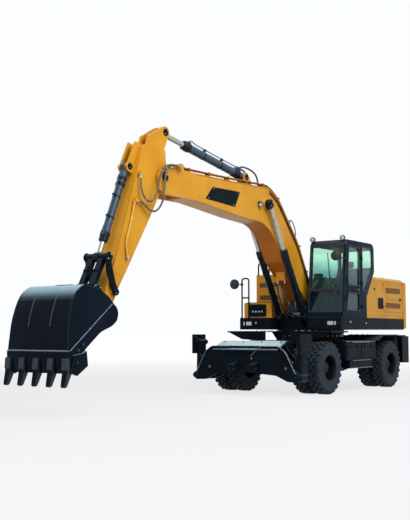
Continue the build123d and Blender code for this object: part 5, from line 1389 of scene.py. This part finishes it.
# Pipe enamel: the plate's yellow drawn paler, a painted highlight on the arm's pipes and their clips.
highlit_pipe_yellow = enamel("pipe_yellow_enamel_painted_highlight", "#DDA63C", "#E6B650", "#F5D894", 0.22, 3, dust="#E0BE84",
                     shine=0.4)
edges = [sweep(oblong(0.012, 0.014, 0.003), lane(line, hand * 0.1755, lift, 0.05), X) for hand in (1, -1)
         for line, lift in ((arm_front, -0.007), (arm_rear, 0.007))]
make("arm_plate_edges", edges, yellow, "arm", 0, 30)
welds = [tube(0.005, 6, [at(hand * 0.1735, y, z) for y, z in ((-6.5, 2.14), (-6.7, 2.2))], X)
         for hand in (1, -1)]
make("arm_welds", welds, yellow, "arm")
for hand, side in sides:
    line = smooth_route([at(hand * x, y, z) for x, y, z in ((0.215, -6.232, 3.372), (0.212, -6.262, 3.345),
                                                            (0.196, -6.268, 3.2), (0.192, -6.33, 2.98),
                                                            (0.192, -6.425, 2.74), (0.192, -6.42, 2.6),
                                                            (0.198, -6.405, 2.5), (0.215, -6.4, 2.44))])
    make(f"arm_pipe_{side}", tube(0.017, 12, line, X), highlit_pipe_yellow, "arm")
    union = join(lathe([(0, 0.026), (0.035, 0.026), (0.037, 0.018), (0.075, 0.018)],
                       at(hand * 0.205, -6.405, 2.475), Vector((hand * 0.2, 0.1, -1)), 6),
                 lathe([(0, 0.03), (0.05, 0.03)], at(hand * 0.172, -6.405, 2.445), X * hand, 16))
    make(f"arm_union_{side}", union, plated_steel, "arm")
    clips = [slab(0.05, 0.06, 0.008, at(hand * 0.171, y, z), Y, Z, X * hand * 0.038)
             for y, z in ((-6.29, 3.09), (-6.4, 2.8))]
    make(f"arm_pipe_clips_{side}", clips, highlit_pipe_yellow, "arm", 3)
    for name, place, radius, body in (
            ("arm_eye", (0.108, -5.31, 4.73), 0.066, "arm"),
            ("bucket_base", (0.098, -6.24, 3.98), 0.056, "arm"),
            ("arm_tip", (0.242, -6.92, 1.5), 0.07, "bucket"),
            ("link_pivot", (0.237, -6.7, 1.87), 0.056, "side_links"),
            ("link_pin", (0.237, -6.88, 2.42), 0.078, "side_links"),
            ("bucket_pin", (0.262, -7.15, 1.886), 0.07, "bucket")):
        pin_cap(name, hand, place, radius, body)
    if side == "left":
        union = lathe([(0, 0.02), (0.028, 0.02), (0.03, 0.014), (0.05, 0.014)], at(0.225, -6.11, 3.852), -Z,
                      6)
        make("arm_hose_unions", union, plated_steel, "arm")

# Linkage. Two flat side links and a forked link, cut from thick plate, that turn the cylinder's push into
# the bucket's curl.
ribs = [plate(rounded([(-0.2, -0.032), (0.2, -0.032), (0.2, 0.032), (-0.2, 0.032)], 0.02),
              at(hand * 0.235, -6.8, 2.15), Vector((0, -0.31, 0.95)), Vector((0, 0.95, 0.31)),
              X * hand * 0.006) for hand in (1, -1)]
make("side_link_ribs", ribs, charcoal, "side_links", 1)
cross = join(block(at(-0.155, -7.055, 2.08), at(0.155, -7.0, 2.22)),
             plate(rounded([(-0.05, -0.13), (0.05, -0.13), (0.05, 0.13), (-0.05, 0.13)], 0.02),
                   at(0, -7.06, 2.15), X, Z, -Y * 0.008))
make("bucket_link_web", cross, charcoal, "bucket_link", 4)

# Bucket. A shell rolled from wear-resistant plate in black enamel, with a doubled lip, side plates, vertical
# wear strips, and five cast teeth pinned on their adapters.
# Bucket enamel: glossy blue-black, with a pale blue painted sky reflection where the rolled back faces up.
bucket_black = enamel("bucket_black_enamel", "#070E18", "#0E1927", "#4D6575", 0.16, 5, dust="#2B2B2B",
                      shine=0.04, turned=[(Z, 0.42, 0.97, "#B9DCE8", 0.85)])
dress(bucket_black, "bucket")
# Cast steel: dark and pitted, with a half-metallic sheen.
cast_steel = speckled("cast_tooth_steel", {"Metallic": 0.3, "Specular IOR Level": 0.3}, 12, "#12181C",
                      "#38434A", (0.35, 0.6), 1.2, 5.0)
lip = slab(1.29, 0.3, 0.01, at(0, -8.128, 0.805), X, Vector((0, -0.085, 1)).normalized(),
           (0, -0.014, 0))
make("bucket_lip_plate", lip, bucket_black, "bucket", 3)
line = sweep(oblong(0.012, 0.014, 0.003), [at(x, -8.145, 0.966) for x in (-0.645, 0, 0.645)], Z)
make("bucket_lip_edge", line, rubbed_steel, "bucket", 1)
bucket_taper = 0.0618
bucket_half = 0.665 + bucket_taper * 0.4
shell_back = np.array([(-8.136, 0.96), (-8.102, 1.4), (-8.022, 1.66), (-7.942, 1.812), (-7.78, 1.927),
                       (-7.56, 1.888)])


def rolled(line, half_width, out, deep):
    """A rolled plate: a rounded side line moved out along its normals, as wide on both sides as the half
    width at its foot less the bucket's taper times its height, and as thick as deep."""
    line = rounded(line, 0.3, False, 10)
    ahead = heading(line)
    normal = np.column_stack([-ahead[:, 1], ahead[:, 0]])
    wide = half_width - bucket_taper * line[:, 1:]
    edges = []
    for hand, lift in ((-1, out), (1, out), (1, out - deep), (-1, out - deep)):
        place = line + normal * lift
        edges.append(np.column_stack([hand * wide[:, 0], place[:, 0] + slewing_y, place[:, 1]]))
    count = len(line)
    return np.stack(edges, axis=1).reshape(-1, 3), capped_faces(count, 4)


make("bucket_back", rolled(shell_back, bucket_half - 0.002, 0.012, 0.014), bucket_black, "bucket", 0, 50)
smooth_back = rounded(shell_back, 0.3, False, 10)
high_up = (smooth_back[:, 1] > 1.3) & (smooth_back[:, 1] < 1.79) & (smooth_back[:, 0] < -7.9)
strips = [sweep(oblong(0.006, 0.014, 0.003), [at(x, y - 0.012, z + 0.004) for y, z in smooth_back[high_up]],
                X) for x in (-0.215, 0.235)]
make("bucket_wear_strips", strips, steel_blue, "bucket", 1)
for hand, side in sides:
    seam = [at(hand * (0.64 + bucket_taper * (0.4 - z)), y - 0.011, z + 0.003) for y, z in smooth_back[4:-6]]
    make(f"bucket_seam_{side}", sweep(oblong(0.008, 0.028, 0.003), seam, X), bucket_black, "bucket", 1)
for hand, side in sides:
    taper_up = Vector((-hand * bucket_taper, 0, 1))
    foot = at(hand * bucket_half - hand * 0.004, 0, 0)
    cheek = [(-8.12, 0.955), (-8.1, 0.65), (-7.99, 0.645), (-7.812, 0.972), (-7.462, 1.232), (-7.2, 1.325),
             (-7.085, 1.41), (-7.05, 1.54), (-7.11, 1.64), (-7.19, 1.66)]
    make(f"bucket_side_plate_{side}", plate(rounded(cheek, 0.05), foot, Y, taper_up, X * hand * 0.014),
         bucket_black, "bucket", 3)
    edge = [foot + Y * y + taper_up * z + X * hand * 0.014 for y, z in ((-8.118, 0.958), (-7.65, 1.309),
                                                                        (-7.19, 1.656))]
    make(f"bucket_side_edge_{side}", sweep(oblong(0.012, 0.01, 0.002), edge, X * hand), rubbed_steel,
         "bucket", 1)
    spots = [foot + Y * y + taper_up * z + X * hand * 0.014 for y, z in ((-7.85, 1.05), (-7.95, 0.97),
        (-7.98, 0.8), (-8.05, 0.9))]
    make(f"bucket_side_bolts_{side}", bolts(spots, X * hand, 0.012), cast_steel, "bucket")
for index, x in enumerate((-0.6, -0.3, 0.0, 0.3, 0.6)):
    tooth = plate([(-8.157, 0.64), (-8.207, 0.47), (-8.193, 0.444), (-8.16, 0.466), (-8.063, 0.66),
                   (-8.087, 0.7), (-8.145, 0.71)], at(x - 0.047, 0, 0), Y, Z, X * 0.094)
    make(f"tooth_{index}", tooth, cast_steel, "bucket", 5)
    noses = join(plate([(-8.138, 0.868), (-8.176, 0.85), (-8.186, 0.7), (-8.15, 0.66), (-8.118, 0.7)],
                       at(x - 0.056, 0, 0), Y, Z, X * 0.112),
                 plate([(-8.105, 0.88), (-8.075, 0.86), (-8.06, 0.7), (-8.08, 0.69), (-8.11, 0.7)],
                       at(x - 0.045, 0, 0), Y, Z, X * 0.09))
    make(f"tooth_adapter_{index}", noses, cast_steel, "bucket", 6)
    pin = lathe([(0, 0.015), (0.124, 0.015)], at(x - 0.062, -8.15, 0.715), X, 12)
    make(f"tooth_pin_{index}", pin, cast_steel, "bucket", 1)
